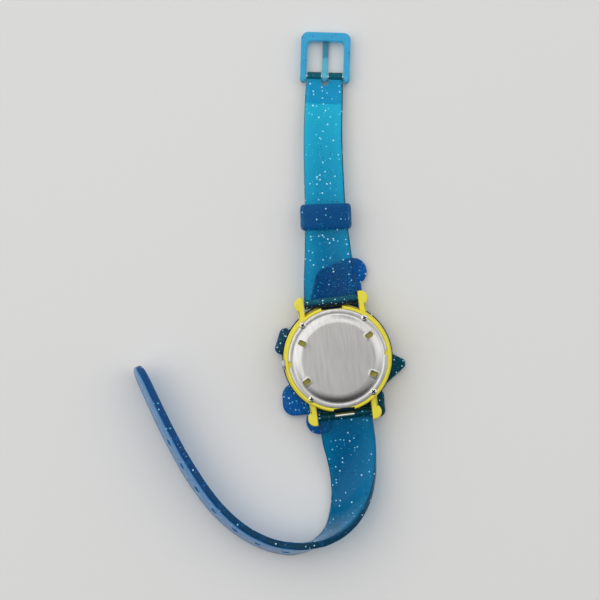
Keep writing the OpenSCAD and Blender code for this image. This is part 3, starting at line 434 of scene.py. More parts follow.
def bevelled(name, node, body, slot, paint, width_mm, segments=2):
    """A piece with rounded edges that stands for a CAD node of the same shape."""
    sharp_angle, flat_angle = 35, 0.5
    bm = bmesh.new()
    bm.from_mesh(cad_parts[node].data)
    bmesh.ops.remove_doubles(bm, verts=bm.verts, dist=SAME_POINT)
    bmesh.ops.dissolve_limit(bm, angle_limit=math.radians(flat_angle), verts=bm.verts, edges=bm.edges)
    obj = scratch(bm, name, paint)
    mod = obj.modifiers.new("rounding", "BEVEL")
    mod.width = width_mm * MM
    mod.segments = segments
    mod.limit_method = "ANGLE"
    mod.angle_limit = math.radians(sharp_angle)
    mod.use_clamp_overlap = False
    mod.miter_outer = "MITER_ARC"
    smooth(settle(obj), sharp_angle)
    obj.modifiers.new("normals", "WEIGHTED_NORMAL").keep_sharp = True
    return finish_piece(obj, name, body, slot, node, degrees=None)


def dress(node, paint):
    """Gives a CAD node that stays its material."""
    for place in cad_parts[node].material_slots:
        place.link = "OBJECT"
        place.material = paint


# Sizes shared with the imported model, in mm

BAR_REACH = 14.8
BAR_Z = 5.0
STRAP_W = 13.9
STRAP_T = 2.0
UPPER_LEN = 58.7
LOWER_LEN = 108.8
PIN_Z = 1.3
RING_R = 14.4
KNUCKLE_R = 1.3
BAR_BORE_R = 0.75
CUT_THROUGH = 20
SCREW_REACH = 12.45
SCREW_ANGLES = (50, 130, 230, 310)
CROWN_Z = 5.4
DIAL_Z = 3.3
STEP = 0.004
# charm outlines round circles of [x, y, radius], in shares of the ring's radius
ROUND_LOBES = [(0.471, 1.517, 0.252), (-0.014, 1.403, 0.236)]
ROUND_BODY = [(0.455, 1.528, 0.135), (-0.014, 1.403, 0.236), (-0.153, 1.083, 0.222), (0.375, 1.042, 0.215)]
HEART_LEFT = [(-0.875, -0.736, 0.215), (-0.847, -0.597, 0.236), (-0.694, -0.736, 0.215), (0, 0, 0.1)]
HEART_RIGHT = [(-0.465, -1.097, 0.243), (0, 0, 0.1)]
TRIANGLE = [(1.132, 0, 0.104), (0.66, 0.167, 0.104), (0.799, -0.373, 0.104)]


def between(a, b, t):
    return a + (b - a) * t


def table_at(rows, s):
    for (s0, v0), (s1, v1) in zip(rows, rows[1:]):
        if s <= s1:
            break
    return between(v0, v1, (s - s0) / (s1 - s0))


def curve_at(points, s):
    """A point on the smooth curve through points, at a share of its spans."""
    n = len(points) - 1
    i = min(int(s * n), n - 1)
    t = s * n - i
    p = [Vector(q) for q in points]
    p1, p2 = p[i], p[i + 1]
    p0 = p[i - 1] if i > 0 else 2 * p1 - p2
    p3 = p[i + 2] if i < n - 1 else 2 * p2 - p1
    square = (2 * p0 - 5 * p1 + 4 * p2 - p3) * t * t
    cube = (3 * p1 - p0 - 3 * p2 + p3) * t ** 3
    return (2 * p1 + (p2 - p0) * t + square + cube) / 2


def ease(t):
    return t * t * (3 - 2 * t)


UPPER_ROUTE = [(0, 0), (0.0165, 0.25), (0.034, 0.499), (0.059, 0.748), (0.0975, 0.995)]
UPPER_WIDTHS = [(0, 1), (0.1, 0.96), (0.2, 0.88), (0.32, 0.805), (0.45, 0.755), (0.67, 0.73), (0.92, 0.705),
                (1, 0.67)]
LOWER_ROUTE = [
    (0, 0), (0.0023, -0.0519), (0.004, -0.101), (0.0013, -0.151), (-0.0106, -0.2007), (-0.035, -0.2439),
    (-0.0704, -0.2772), (-0.1155, -0.2978), (-0.1648, -0.3005), (-0.2121, -0.2862), (-0.257, -0.2595),
    (-0.2927, -0.2285), (-0.3259, -0.1891), (-0.3532, -0.1465), (-0.3765, -0.102), (-0.3969, -0.0566),
    (-0.4151, -0.0105), (-0.4319, 0.0363), (-0.4476, 0.0836), (-0.463, 0.1315), (-0.4779, 0.1774)]
LOWER_WIDTHS = [(0, 1), (0.06, 0.99), (0.12, 0.905), (0.2, 0.835), (0.3, 0.785), (0.4, 0.755), (1, 0.74)]
LOWER_ROLLS = [(0, 0), (0.06, 2), (0.1, 9), (0.15, 22), (0.2, 38), (0.25, 58), (0.3, 80), (0.35, 98),
               (0.4, 107), (0.7, 108), (1, 104)]
SETTLE = 0.2
TIP_ROUND = 0.05


def upper_point(s):
    p = curve_at(UPPER_ROUTE, s)
    return Vector((p.x * UPPER_LEN, BAR_REACH + p.y * UPPER_LEN, between(BAR_Z, PIN_Z, s)))


def lower_width(s):
    return STRAP_W * table_at(LOWER_WIDTHS, s)


def lower_point(s):
    p = curve_at(LOWER_ROUTE, s)
    roll = math.radians(table_at(LOWER_ROLLS, s))
    rest = abs(lower_width(s) / 2 * math.sin(roll)) + abs(STRAP_T / 2 * math.cos(roll))
    height = between(BAR_Z, rest, ease(min(s / SETTLE, 1)))
    return Vector((p.x * LOWER_LEN, p.y * LOWER_LEN - BAR_REACH, height))


def strap_frame(point, s, roll=0.0):
    """(centre, across, through) of a strap at a share of its length."""
    p, q = point(max(s - STEP, 0)), point(min(s + STEP, 1))
    along = (q - p).normalized()
    flat = along.cross(Vector((0, 0, 1))).normalized()
    up = flat.cross(along)
    c, d = math.cos(math.radians(roll)), math.sin(math.radians(roll))
    return (p + q) / 2, flat * c - up * d, up * c + flat * d


def upper_frame(s):
    return (*strap_frame(upper_point, s), STRAP_W * table_at(UPPER_WIDTHS, s))


def lower_frame(s):
    t = max(0.0, (s - 1 + TIP_ROUND) / TIP_ROUND)
    width = lower_width(s) * math.sqrt(max(0.0, 1 - t * t))
    return (*strap_frame(lower_point, s, table_at(LOWER_ROLLS, s)), width)


EDGE_STEPS = 4
EDGE_R = 0.5
BORDER = 1.25
BORDER_SLOPE = 0.3
TIP_THINS = 7.6


def strap_section(w, sink, lift):
    """[(across, through)] of a strap: rounded edges, a shallow channel on the wrist side, a thinner tip."""
    r = min(EDGE_R, w / 2 * 0.9)
    thick = STRAP_T * min(1.0, math.sqrt(w / TIP_THINS))
    x, y = w / 2 - r, thick / 2 - min(r, thick / 2.2)
    points = []
    for corner, (sx, sy) in enumerate(((1, 1), (-1, 1), (-1, -1), (1, -1))):
        raised = lift if sy > 0 else 0
        for k in range(EDGE_STEPS + 1):
            a = math.radians(90 * corner + 90 * k / EDGE_STEPS)
            points.append([sx * x + r * math.cos(a), sy * y + (thick / 2 - y) * math.sin(a) + raised])
        if corner == 0:
            border = w / 2 - min(BORDER, w / 4)
            inner = border - min(BORDER_SLOPE, w / 16)
            top = thick / 2 + lift
            low = top - sink
            points += [[border, top], [inner, low], [0, low], [-inner, low], [-border, top]]
    return points


def side_point(j):
    """Whether the face from this section point to the next is on a strap's side wall."""
    first = 2 * EDGE_STEPS + 4
    return j <= 2 or first <= j <= first + 4 or j >= 4 * EDGE_STEPS + 7


def strap_body(stations, frame_at, channel, doubled=2.0):
    """A closed skin through strap sections. channel gives the depth and lift of the wrist side at a station.

    The sides take the second material, and the end from the share doubled on takes the third."""
    bm = bmesh.new()
    loops = []
    for s in stations:
        centre, across, through, w = frame_at(s)
        loops.append([(centre + a * across + b * through) * MM for a, b in strap_section(w, *channel(s))])

    def material_of(i, j):
        return 1 if side_point(j) else 2 * (stations[i] > doubled)

    rows = loops_to_faces(bm, loops, closed=False, material_of=material_of)
    bm.faces.new(list(reversed(rows[0])))
    bm.faces.new(rows[-1])
    return bm


# Settings


class WatchSettings(bpy.types.PropertyGroup):
    """Sizes and colours that a user may change"""

    edge_rounding: bpy.props.FloatProperty(
        name="Case edge rounding", description="Radius of the moulded case's edges, in mm",
        default=0.14, min=0.02, max=0.3)
    charm_rounding: bpy.props.FloatProperty(
        name="Charm edge rounding", description="Radius of the charms' soft edges, in mm",
        default=0.6, min=0.2, max=0.9)
    channel_depth: bpy.props.FloatProperty(
        name="Strap channel depth", description="Depth of the channel on the wrist side, in mm",
        default=0.14, min=0, max=0.3)
    floor_colour: bpy.props.FloatVectorProperty(
        name="Floor", description="Colour of the table top", subtype="COLOR", size=4,
        default=linear("#dbdad8"))
    camera_height: bpy.props.FloatProperty(
        name="Camera height", description="Height of the camera above the table",
        default=0.45, unit="LENGTH")
    lamp_power: bpy.props.FloatProperty(
        name="Lamp power", description="Power of the large soft lamp", default=8.0, unit="POWER")


def settings():
    return bpy.context.scene.watch


# Pieces


def bar_knuckle(side, paint):
    """The round root of a strap half on its spring bar, at twelve (1) or six (-1)."""
    bm = rod(KNUCKLE_R, STRAP_W, (0, side * BAR_REACH, BAR_Z), ALONG_X, chamfer=0.2)
    return scratch(bm, "knuckle", paint)


def bar_bore(side):
    return rod(BAR_BORE_R, CUT_THROUGH, (0, side * BAR_REACH, BAR_Z), ALONG_X)


def upper_half(depth):
    """The half at twelve: doubled over the buckle pin, with a slot for the tongue."""
    fold_mm, fold_step, fold_lift, fold_share = 7.2, 0.002, 0.1, 0.4
    pin_roll_r, pin_roll_w, pin_bore_r = 1.2, 9.1, 0.625
    slot_r, slot_end, slot_mouth = 1.0, -1.5, 2.6
    beside_x, beside = 17.45, (25.8, 3.7, 5.2)
    start, stop, steps = 0.01, 0.985, 70
    # painted shade and light: the skin turns lighter and less clear towards the buckle, where the strap lies
    # low on the table, and deeper towards the case, where it rides high over its own shadow
    skin = material("pvc_jelly_strap", jelly_vinyl, "#0cacdc", "#12b6e2", roughness=0.2,
                    along=("Y", 21, 72), hex_far="#30e0ff", clear_far=0.5)
    double = material("pvc_jelly_strap_doubled", jelly_vinyl, "#1cc0f2", "#24caf8", clear=0.66)
    # painted shade: the side walls are coloured much darker than the faces, for the light lost on its long
    # way through the vinyl
    edge = material("pvc_jelly_strap_side", jelly_vinyl, "#14484a", "#185052", clear=0.8, keep=0.35)
    # painted shade and highlight: the knuckle's half towards the case is painted dark navy for the shade in
    # the gap, and its outer half a lighter teal for its lit top
    root = material("pvc_jelly_root", jelly_vinyl, "#0a1c3c", "#0c2442", clear=0.1, spacing_mm=0.8,
                    fleck_mm=0.22, keep=0.8, along=("Y", 14.3, 14.9), hex_far="#185e72", clear_far=0.4)
    pin_fold = material("pvc_jelly_pin_fold", jelly_vinyl, "#1c6f82", "#217c86", clear=0.7, keep=0.3)

    fold = 1 - fold_mm / UPPER_LEN
    stations = [between(start, stop, i / steps) for i in range(steps + 1)]
    stations = [s for s in stations if abs(s - fold) > 2 * fold_step] + [fold - fold_step, fold + fold_step]

    def channel(s):
        return (depth, 0) if s < fold else (depth * fold_share, fold_lift)

    upper = scratch(strap_body(sorted(stations), upper_frame, channel, fold), "upper", skin, edge, double)
    pin_point, across = upper_point(1), upper_frame(1)[1]
    turn = across.to_track_quat("Z", "Y").to_matrix().to_4x4()
    pin_roll = scratch(rod(pin_roll_r, pin_roll_w, pin_point, turn, chamfer=0.15), "pin_roll", pin_fold)
    carve(upper, [bar_knuckle(1, root), pin_roll], "UNION")
    at_pin = Matrix.Translation(pin_point * MM) @ Matrix.Rotation(math.atan2(across.y, across.x), 4, "Z")
    mouth = [(slot_r, slot_mouth), (-slot_r, slot_mouth)]
    slot = prism(arc(0, slot_end, slot_r, 180, 360, 16) + mouth, -slot_mouth, slot_mouth)
    slot.transform(at_pin)
    # the doubled end is narrower than the buckle's legs
    sides = [block(beside, (x * beside_x, 0, 0), at_pin) for x in (-1, 1)]
    cut(upper, [bar_bore(1), rod(pin_bore_r, CUT_THROUGH, pin_point, turn), slot, *sides])
    finish_piece(upper, "upper_strap_vinyl", "upper_strap", "strap_vinyl", "upper_strap")


def lower_half(depth):
    """The half at six, with its holes: it curls away and stands on its edge."""
    first_hole, pitch, holes, hole_r, hole_cut = 45, 7, 7, 1.0, 5
    start, steps, tip_steps, tip_share = 0.006, 150, 14, 0.995
    notch, notch_low, notch_high = [(-2.5, -0.3), (2.5, -0.3), (2.5, 2.3), (-2.5, 2.3)], 3.2, 6.8
    skin = material("pvc_jelly_strap_long", jelly_vinyl, "#0a9acc", "#0ea0d2", clear=0.86, keep=0.5,
                    roughness=0.2, along=("X", -6, -24), hex_far="#2898dc", clear_far=0.5)
    # painted shade and light: the side walls are darker than the faces, for the light lost on its long way
    # through the vinyl, and turn lighter along the standing tail, where the side faces up to the light
    edge = material("pvc_jelly_strap_long_side", jelly_vinyl, "#1c5674", "#184e6c", clear=0.7, keep=0.4,
                    along=("X", -24, -48), hex_far="#2a68a4")
    low_root = material("pvc_jelly_low_root", jelly_vinyl, "#0c5460", "#105e68", clear=0.7, keep=0.3)

    stations = [between(start, 1 - TIP_ROUND, i / steps) for i in range(steps + 1)]
    # the rounded tip's stations crowd together towards its end
    stations += [1 - TIP_ROUND + TIP_ROUND * tip_share * math.sin(math.pi / 2 * i / tip_steps)
                 for i in range(1, tip_steps + 1)]
    lower = scratch(strap_body(stations, lower_frame, lambda s: (depth, 0)), "lower", skin, edge)
    carve(lower, [bar_knuckle(-1, low_root)], "UNION")
    cuts = [bar_bore(-1), prism([(x, y - BAR_REACH) for x, y in notch], notch_low, notch_high)]
    for i in range(holes):
        centre, _, through, _ = lower_frame((first_hole + pitch * i) / LOWER_LEN)
        way = through.to_track_quat("Z", "Y").to_matrix().to_4x4()
        cuts.append(rod(hole_r, hole_cut, centre, way, 40))
    cut(lower, cuts)
    finish_piece(lower, "lower_strap_vinyl", "lower_strap", "strap_vinyl", "lower_strap")


class WATCH_OT_straps(bpy.types.Operator):
    """Both strap halves, in clear glittery vinyl"""

    bl_idname = "watch.straps"
    bl_label = "Straps"

    def execute(self, context):
        depth = settings().channel_depth
        upper_half(depth)
        lower_half(depth)
        return {"FINISHED"}


def rounded_loop(half_w, half_h, r, steps=6):
    r = min(r, half_w * 0.95, half_h * 0.95)
    points = []
    for corner, (sx, sy) in enumerate(((1, 1), (-1, 1), (-1, -1), (1, -1))):
        points += arc(sx * (half_w - r), sy * (half_h - r), r, 90 * corner, 90 * corner + 90, steps)
    return points


class WATCH_OT_keeper(bpy.types.Operator):
    """The keeper band round the upper strap"""

    bl_idname = "watch.keeper"
    bl_label = "Keeper"

    def execute(self, context):
        half, w, h, wall = 6.5 / 2, 13.3 / 2, 5.9 / 2, 0.8
        # each outer end rounds off over run along the strap, by draw at the sides and drop above
        run, draw, drop, steps = 1.25, 0.66, 0.22, 6
        lead, lead_run, outer_r, inner_r, table_gap = 0.06, 0.12, 1.5, 0.3, 0.05
        seat_share, heading_share = 0.375, 0.56
        paint = material("pvc_jelly_keeper", jelly_vinyl, "#1c92d4", "#229cdc", clear=0.85, spacing_mm=1.2,
                         fleck_mm=0.22, keep=0.45, roughness=0.22)
        outer = []
        for k in range(steps + 1):
            a = math.radians(90 * k / steps)
            left = 1 - math.sin(a)
            outer.append((run * (1 - math.cos(a)) - half, w - draw * left, h - drop * left))
        outer += [(-y, a, b) for y, a, b in reversed(outer)]
        iw, ih = w - wall, h - wall
        inner = [(half, iw + lead, ih + lead), (half - lead_run, iw, ih), (lead_run - half, iw, ih),
                 (-half, iw + lead, ih + lead)]
        place = upper_point(seat_share)
        across = upper_frame(heading_share)[1]
        turn = Matrix.Translation(Vector((place.x, place.y, table_gap + h)) * MM) @ Matrix.Rotation(
            math.atan2(across.y, across.x), 4, "Z")
        rows = [(*row, outer_r) for row in outer] + [(*row, inner_r) for row in inner]
        bm = bmesh.new()
        loops_to_faces(bm, [[turn @ (Vector((x, y, z)) * MM) for x, z in rounded_loop(a, b, r, 10)]
                            for y, a, b, r in rows])
        finish_piece(scratch(bm, "keeper", paint), "keeper_band", "keeper", "keeper_vinyl", "keeper_loop")
        return {"FINISHED"}


class WATCH_OT_buckle(bpy.types.Operator):
    """Buckle frame, tongue and pin"""

    bl_idname = "watch.buckle"
    bl_label = "Buckle"

    def execute(self, context):
        clear = material("pvc_jelly_buckle", jelly_vinyl, "#58d4ff", "#62daff", clear=0.62, spacing_mm=1.2,
                         fleck_mm=0.22, keep=0.6, roughness=0.12)
        tongue = material("pvc_jelly_tongue", jelly_vinyl, "#78dcf4", "#84e2f8", clear=0.55, spacing_mm=1.2,
                          fleck_mm=0.2, keep=0.4, along=("Y", 77.8, 78.4), hex_far="#56b0cc")
        bevelled("buckle_frame_vinyl", "buckle_frame", "buckle_frame", "buckle_vinyl", clear, 0.4, 4)
        bevelled("buckle_tongue_vinyl", "buckle_tongue", "tongue", "buckle_vinyl", tongue, 0.2, 3)
        dress("buckle_pin", bar_steel())
        return {"FINISHED"}


def soften(corners, steps=4):
    """A closed outline with its corners rounded, from an (x, y, radius) for each."""
    points = [Vector(c[:2]) for c in corners]
    rounded = []
    for i, b in enumerate(points):
        before, after = points[i - 1] - b, points[(i + 1) % len(points)] - b
        r = corners[i][2]
        if not r:
            rounded.append(tuple(b))
            continue
        half = before.angle(after) / 2
        reach = min(r / math.tan(half), 0.49 * before.length, 0.49 * after.length)
        r = reach * math.tan(half)
        centre = b + (before.normalized() + after.normalized()).normalized() * (r / math.sin(half))
        start, stop = b + before.normalized() * reach - centre, b + after.normalized() * reach - centre
        turn = start.angle_signed(stop)
        rounded += [tuple(centre + Matrix.Rotation(-turn * k / steps, 2) @ start) for k in range(steps + 1)]
    return rounded


class WATCH_OT_case(bpy.types.Operator):
    """The moulded case"""

    bl_idname = "watch.case"
    bl_label = "Case"

    def execute(self, context):
        e = settings().edge_rounding
        paint = material("yellow_abs_moulded", moulded_plastic, "#dacc28", "#e4d738", 0.36)
        wall, flange, seat_r, cavity, opening, glass = 13.6, 14.1, 12.85, 11.5, 9.4, 10.48
        front, flange_top, rim, seat, glass_z = 2.2, 3.8, 8.4, 8.0, 2.9
        corners = [
            (glass, front, 0.1), (flange, front, e), (flange, flange_top, e), (wall, flange_top, e),
            (wall, rim, e * 1.4), (seat_r, rim, 0.07), (seat_r, seat, 0), (cavity, seat, 0.05),
            (cavity, DIAL_Z, 0), (opening, DIAL_Z, 0.05), (opening, glass_z, 0.05), (glass, glass_z, 0)]
        case = scratch(lathe(soften(corners, 3), 240), "case", paint)

        inner, knob_x, knob_r, neck_x, neck_y = 7.1, 7.65, 1.9, 8.75, 9.6
        lug_rounding, lug_h, lug_low = 0.3, 4.2, 2.9
        low = math.degrees(math.asin((neck_x - knob_x) / knob_r)) - 90
        high = math.degrees(math.acos((inner - knob_x) / knob_r))
        plan = [(inner, neck_y), (neck_x, neck_y)] + arc(knob_x, BAR_REACH, knob_r, low, high, 20)
        lugs = []
        for x, y in ((-1, -1), (-1, 1), (1, -1), (1, 1)):
            outline = [(a * x, b * y) for a, b in plan]
            if x * y < 0:
                outline.reverse()
            bm = charm_solid(outline, lug_rounding, lug_h, 4)
            bm.transform(Matrix.Translation((0, 0, lug_low * MM)))
            lugs.append(scratch(bm, "lug", paint))
        carve(case, lugs, "UNION")

        # each bore is a radius, a length and the place of its middle along its own direction
        root_room, root_y, root_z = (5.5, 5, 9), 15.3, 6
        screw_seat, screw_hole, peg_hole, peg_reach = (0.9, 1, 8.8), (0.46, 2.6, 7.0), (0.65, 1.4, 2.35), 12.4
        bar_hole, stem_hole, crown_room = (0.43, 1.7, 7.45), (0.5, 4, -13.3), (1.35, 3, -14.65)
        cuts = [block(root_room, (0, y * root_y, root_z)) for y in (-1, 1)]
        for a in SCREW_ANGLES:
            cuts.append(upright(*screw_seat, SCREW_REACH, a, 40))
            cuts.append(upright(*screw_hole, SCREW_REACH, a, 24))
        r, length, middle = bar_hole
        for x in (-1, 1):
            cuts += [rod(r, length, (x * middle, y * BAR_REACH, BAR_Z), ALONG_X, 24) for y in (-1, 1)]
        for (r, length, middle), steps in ((stem_hole, 24), (crown_room, 48)):
            cuts.append(rod(r, length, (middle, 0, CROWN_Z), ALONG_X, steps))
        cuts += [upright(*peg_hole, peg_reach, a, 24) for a in (20, 160, 200, 340)]
        cut(case, cuts)
        finish_piece(case, "case_shell", "case", "yellow_abs", "case_body")
        return {"FINISHED"}


def steel_plate():
    """The pressed sheet: a steep shoulder that rounds off, with a lip round each slot."""
    seat, rise, sheet_t, edge_r, shoulder, middle = 8.0, 0.6, 0.3, 12.8, 11.3, 9.2
    steps, steepness = 16, 1.8
    up = [(between(shoulder, middle, i / steps), rise * (1 - (1 - i / steps) ** steepness))
          for i in range(steps + 1)]
    flat = [(r, rise) for r in (9.0, 8.85, 8.7, 8.5, 7.5, 5, 2.5, 0)]
    under = [(edge_r, 0.04), (edge_r - 0.04, 0), (11.45, 0)] + up + flat
    # a fine turned line runs round the flange, and the rim is rolled over
    rolled = [(12.76, 0.27), (12.7, 0.3), (11.75, 0.3), (11.66, 0.26), (11.57, 0.26), (11.48, 0.3)]
    profile = list(reversed(under)) + rolled + [(r, z + sheet_t) for r, z in up + flat]
    # the steps are fine where a pressed lip stands round each slot
    slot_reach, slot_angles, lip_h, lip_out, lip_w = 10, (30, 150, 210, 330), 0.06, 0.36, 0.2
    core_half_l, core_half_w = 0.7, 0.4
    angles = sorted({*range(0, 360, 3), *(a + 0.5 * k for a in slot_angles for k in range(-17, 18))})
    bm = lathe([(r, z + seat) for r, z in profile], 0, angles=angles)
    lips = [(*polar(slot_reach, a), a) for a in slot_angles]
    for v in bm.verts:
        x, y = v.co.x / MM, v.co.y / MM
        for cx, cy, a in lips:
            c, d = math.cos(math.radians(a)), math.sin(math.radians(a))
            along = abs((x - cx) * c + (y - cy) * d) - core_half_l
            side = abs((y - cy) * c - (x - cx) * d) - core_half_w
            gap = math.hypot(max(along, 0), max(side, 0)) + min(max(along, side), 0)
            v.co.z += lip_h * MM * math.exp(-((gap - lip_out) / lip_w) ** 2)
    plate = scratch(bm, "plate", material("stainless_sheet_brushed", brushed_steel_sheet))

    slot_half_l, slot_half_w, slot_corner, cut_low, cut_high = 1.0, 0.7, 0.4, 7, 10
    notch_r, screw_hole_r, deep = 0.8, 0.5, 3
    cuts = []
    for cx, cy, a in lips:
        slot = prism(rounded_loop(slot_half_l, slot_half_w, slot_corner), cut_low, cut_high)
        slot.transform(Matrix.Translation((cx * MM, cy * MM, 0)) @ Matrix.Rotation(math.radians(a), 4, "Z"))
        cuts.append(slot)
    cuts += [rod(notch_r, deep, (x, 0, seat), steps=40) for x in (-edge_r, edge_r)]
    cuts += [upright(screw_hole_r, deep, seat, SCREW_REACH, a, 32) for a in SCREW_ANGLES]
    cut(plate, cuts)
    finish_piece(plate, "steel_back", "case", "back_steel", "case_back", 28)


def back_screws():
    """Four domed screws with cross recesses, each turned as it was driven in."""
    dark = material("screw_recess_shadowed", worked_metal, "#1c1a18", "#2a2724", 0.5, 0.08, 0.003)
    dome = [(0, 5.9), (0.45, 5.9), (0.45, 8.3), (0.8, 8.3), (0.85, 8.36), (0.84, 8.5), (0.7, 8.6),
            (0.45, 8.64), (0, 8.65)]
    arm, half, recess_low, recess_high = 0.56, 0.15, 8.38, 9
    plus = [(arm, -half), (arm, half), (half, half), (half, arm), (-half, arm), (-half, half),
            (-arm, half), (-arm, -half), (-half, -half), (-half, -arm), (half, -arm), (half, -half)]
    heads = []
    for k, a in enumerate(SCREW_ANGLES):
        place = polar(SCREW_REACH, a)
        head = scratch(lathe(dome, 40, place), "head", screw_steel())
        recess = prism(turned(plus, 20 + 37 * k, place), recess_low, recess_high)
        heads.append(carve(head, [scratch(recess, "recess", dark)], "DIFFERENCE"))
    with editing(heads[0].data) as bm:
        for head in heads[1:]:
            bm.from_mesh(head.data)
            bpy.data.objects.remove(head)
    finish_piece(heads[0], "back_screws", "case", "screw_steel", "case_back_screws")


class WATCH_OT_case_back(bpy.types.Operator):
    """The pressed steel back and its screws"""

    bl_idname = "watch.case_back"
    bl_label = "Case back"

    def execute(self, context):
        steel_plate()
        back_screws()
        return {"FINISHED"}


def charm_solid(outline, rounding, thick=2.2, steps=5):
    """A charm's outline raised with softly rounded edges, in mm."""
    count = len(outline)
    centre = Vector((sum(p[0] for p in outline) / count, sum(p[1] for p in outline) / count))
    normals = []
    for i in range(count):
        a, b = Vector(outline[i - 1]), Vector(outline[(i + 1) % count])
        t = (b - a).normalized()
        normals.append(Vector((t.y, -t.x)))
    turns = [math.pi / 2 * k / steps for k in range(steps + 1)]
    levels = [(rounding * (1 - math.sin(a)), rounding * (1 - math.cos(a))) for a in turns]
    bm = bmesh.new()
    levels += [(inset, thick - z) for inset, z in reversed(levels)]
    loops = [[((x - inset * n.x) * MM, (y - inset * n.y) * MM, z * MM) for (x, y), n in zip(outline, normals)]
             for inset, z in levels]
    skin = loops_to_faces(bm, loops, closed=False)
    low, high = (bm.verts.new((centre.x * MM, centre.y * MM, z * MM)) for z in (0, thick))
    for i in range(count):
        j = (i + 1) % count
        bm.faces.new((skin[0][j], skin[0][i], low))
        bm.faces.new((skin[-1][i], skin[-1][j], high))
    return bm


def turned(points, degrees, at=(0, 0)):
    c, d = math.cos(math.radians(degrees)), math.sin(math.radians(degrees))
    return [(at[0] + x * c - y * d, at[1] + x * d + y * c) for x, y in points]


def square_outline(reach, angle, side, turn):
    return turned(rounded_loop(side / 2, side / 2, side * 0.22, 8), turn, polar(reach, angle))


def lobes(shares, steps=40):
    """The outline drawn round a few circles, given as [x, y, radius] shares of the ring's radius."""
    points = [p for x, y, r in shares
              for p in arc(x * RING_R, y * RING_R, r * RING_R, 0, 360 * (1 - 1 / steps), steps - 1)]
    return [points[i] for i in convex_hull_2d(points)]


class WATCH_OT_charms(bpy.types.Operator):
    """The ring of ornament charms"""

    bl_idname = "watch.charms"
    bl_label = "Charms"

    def execute(self, context):
        rounding = settings().charm_rounding
        glass_room, case_room, peg_reach, peg_r, peg_len, peg_z = 10.6, 14.46, 12.9, 0.5, 1.2, 1.1
        blue = material("pvc_charm_blue", jelly_vinyl, "#1c92e2", "#269cea", clear=0.8, spacing_mm=0.9,
                        fleck_mm=0.23, keep=0.85, roughness=0.12)
        navy = material("pvc_charm_navy", jelly_vinyl, "#2a5c86", "#306890", clear=0.7, spacing_mm=0.85,
                        keep=0.75)
        teal = material("pvc_charm_teal", jelly_vinyl, "#0a6884", "#107a94", clear=0.75, spacing_mm=0.95,
                        keep=0.75)
        dress("bezel_ring", material("pvc_ring_navy", jelly_vinyl, "#123a66", "#16446e", clear=0.4,
                                     spacing_mm=1.0, fleck_mm=0.25, keep=0.3))
        charms = [
            ("round", (lobes(ROUND_LOBES), lobes(ROUND_BODY)), 79.7, blue, "blue_glitter_vinyl"),
            ("square", (square_outline(12.9, 156, 7.0, 156),), 156, navy, "navy_glitter_vinyl"),
            ("heart", (lobes(HEART_LEFT), lobes(HEART_RIGHT)), 232, blue, "blue_glitter_vinyl"),
            ("triangle", (turned(lobes(TRIANGLE), -12.4),), -12.4, teal, "teal_glitter_vinyl"),
            ("small_square", (square_outline(14.9, 299.3, 7.0, -2),), 299.3, teal, "teal_glitter_vinyl"),
        ]
        for kind, outlines, peg_angle, paint, slot in charms:
            obj, *others = (scratch(charm_solid(o, rounding), kind, paint) for o in outlines)
            if others:
                carve(obj, others, "UNION")
            cut(obj, [rod(glass_room, 8, (0, 0, 0), steps=160), rod(case_room, 8, (0, 0, 5), steps=180)])
            peg = upright(peg_r, peg_len, peg_z, peg_reach, peg_angle, 32)
            carve(obj, [scratch(peg, "peg", paint)], "UNION")
            finish_piece(obj, kind + "_charm_vinyl", "case", slot, kind + "_charm")
        return {"FINISHED"}


def dial_marks():
    """The hour numbers and the minute marks, printed on the dial, which faces down."""
    number_h, number_reach, ink = 2.3, 6.9, 0.015
    long_mark, short_mark, marks_end = (0.14, 8.35), (0.07, 8.75), 9.15
    bm = bmesh.new()
    flip = Matrix.Rotation(math.pi, 4, "Y")
    for hour in range(1, 13):
        curve = bpy.data.curves.new("number", "FONT")
        curve.body = str(hour)
        curve.size = number_h * MM
        curve.extrude = ink * MM
        curve.align_x = "CENTER"
        curve.align_y = "CENTER"
        curve.resolution_u = 4
        text = placed("number", curve)
        x, y = polar(number_reach, 90 + 30 * hour)
        bpy.context.view_layer.update()
        mesh = bpy.data.meshes.new_from_object(text.evaluated_get(bpy.context.evaluated_depsgraph_get()))
        mesh.transform(Matrix.Translation((x * MM, y * MM, DIAL_Z * MM)) @ flip)
        bm.from_mesh(mesh)
        bpy.data.objects.remove(text)
        bpy.data.meshes.remove(mesh)
    for minute in range(60):
        w, start = short_mark if minute % 5 else long_mark
        outline = [(start, -w), (marks_end, -w), (marks_end, w), (start, w)]
        tick = prism(outline, DIAL_Z - 0.02, DIAL_Z + 0.01)
        tick.transform(Matrix.Rotation(math.radians(6 * minute), 4, "Z"))
        mesh = mesh_from(tick, "tick")
        bm.from_mesh(mesh)
        bpy.data.meshes.remove(mesh)
    bmesh.ops.remove_doubles(bm, verts=bm.verts, dist=SAME_POINT)
    return bm


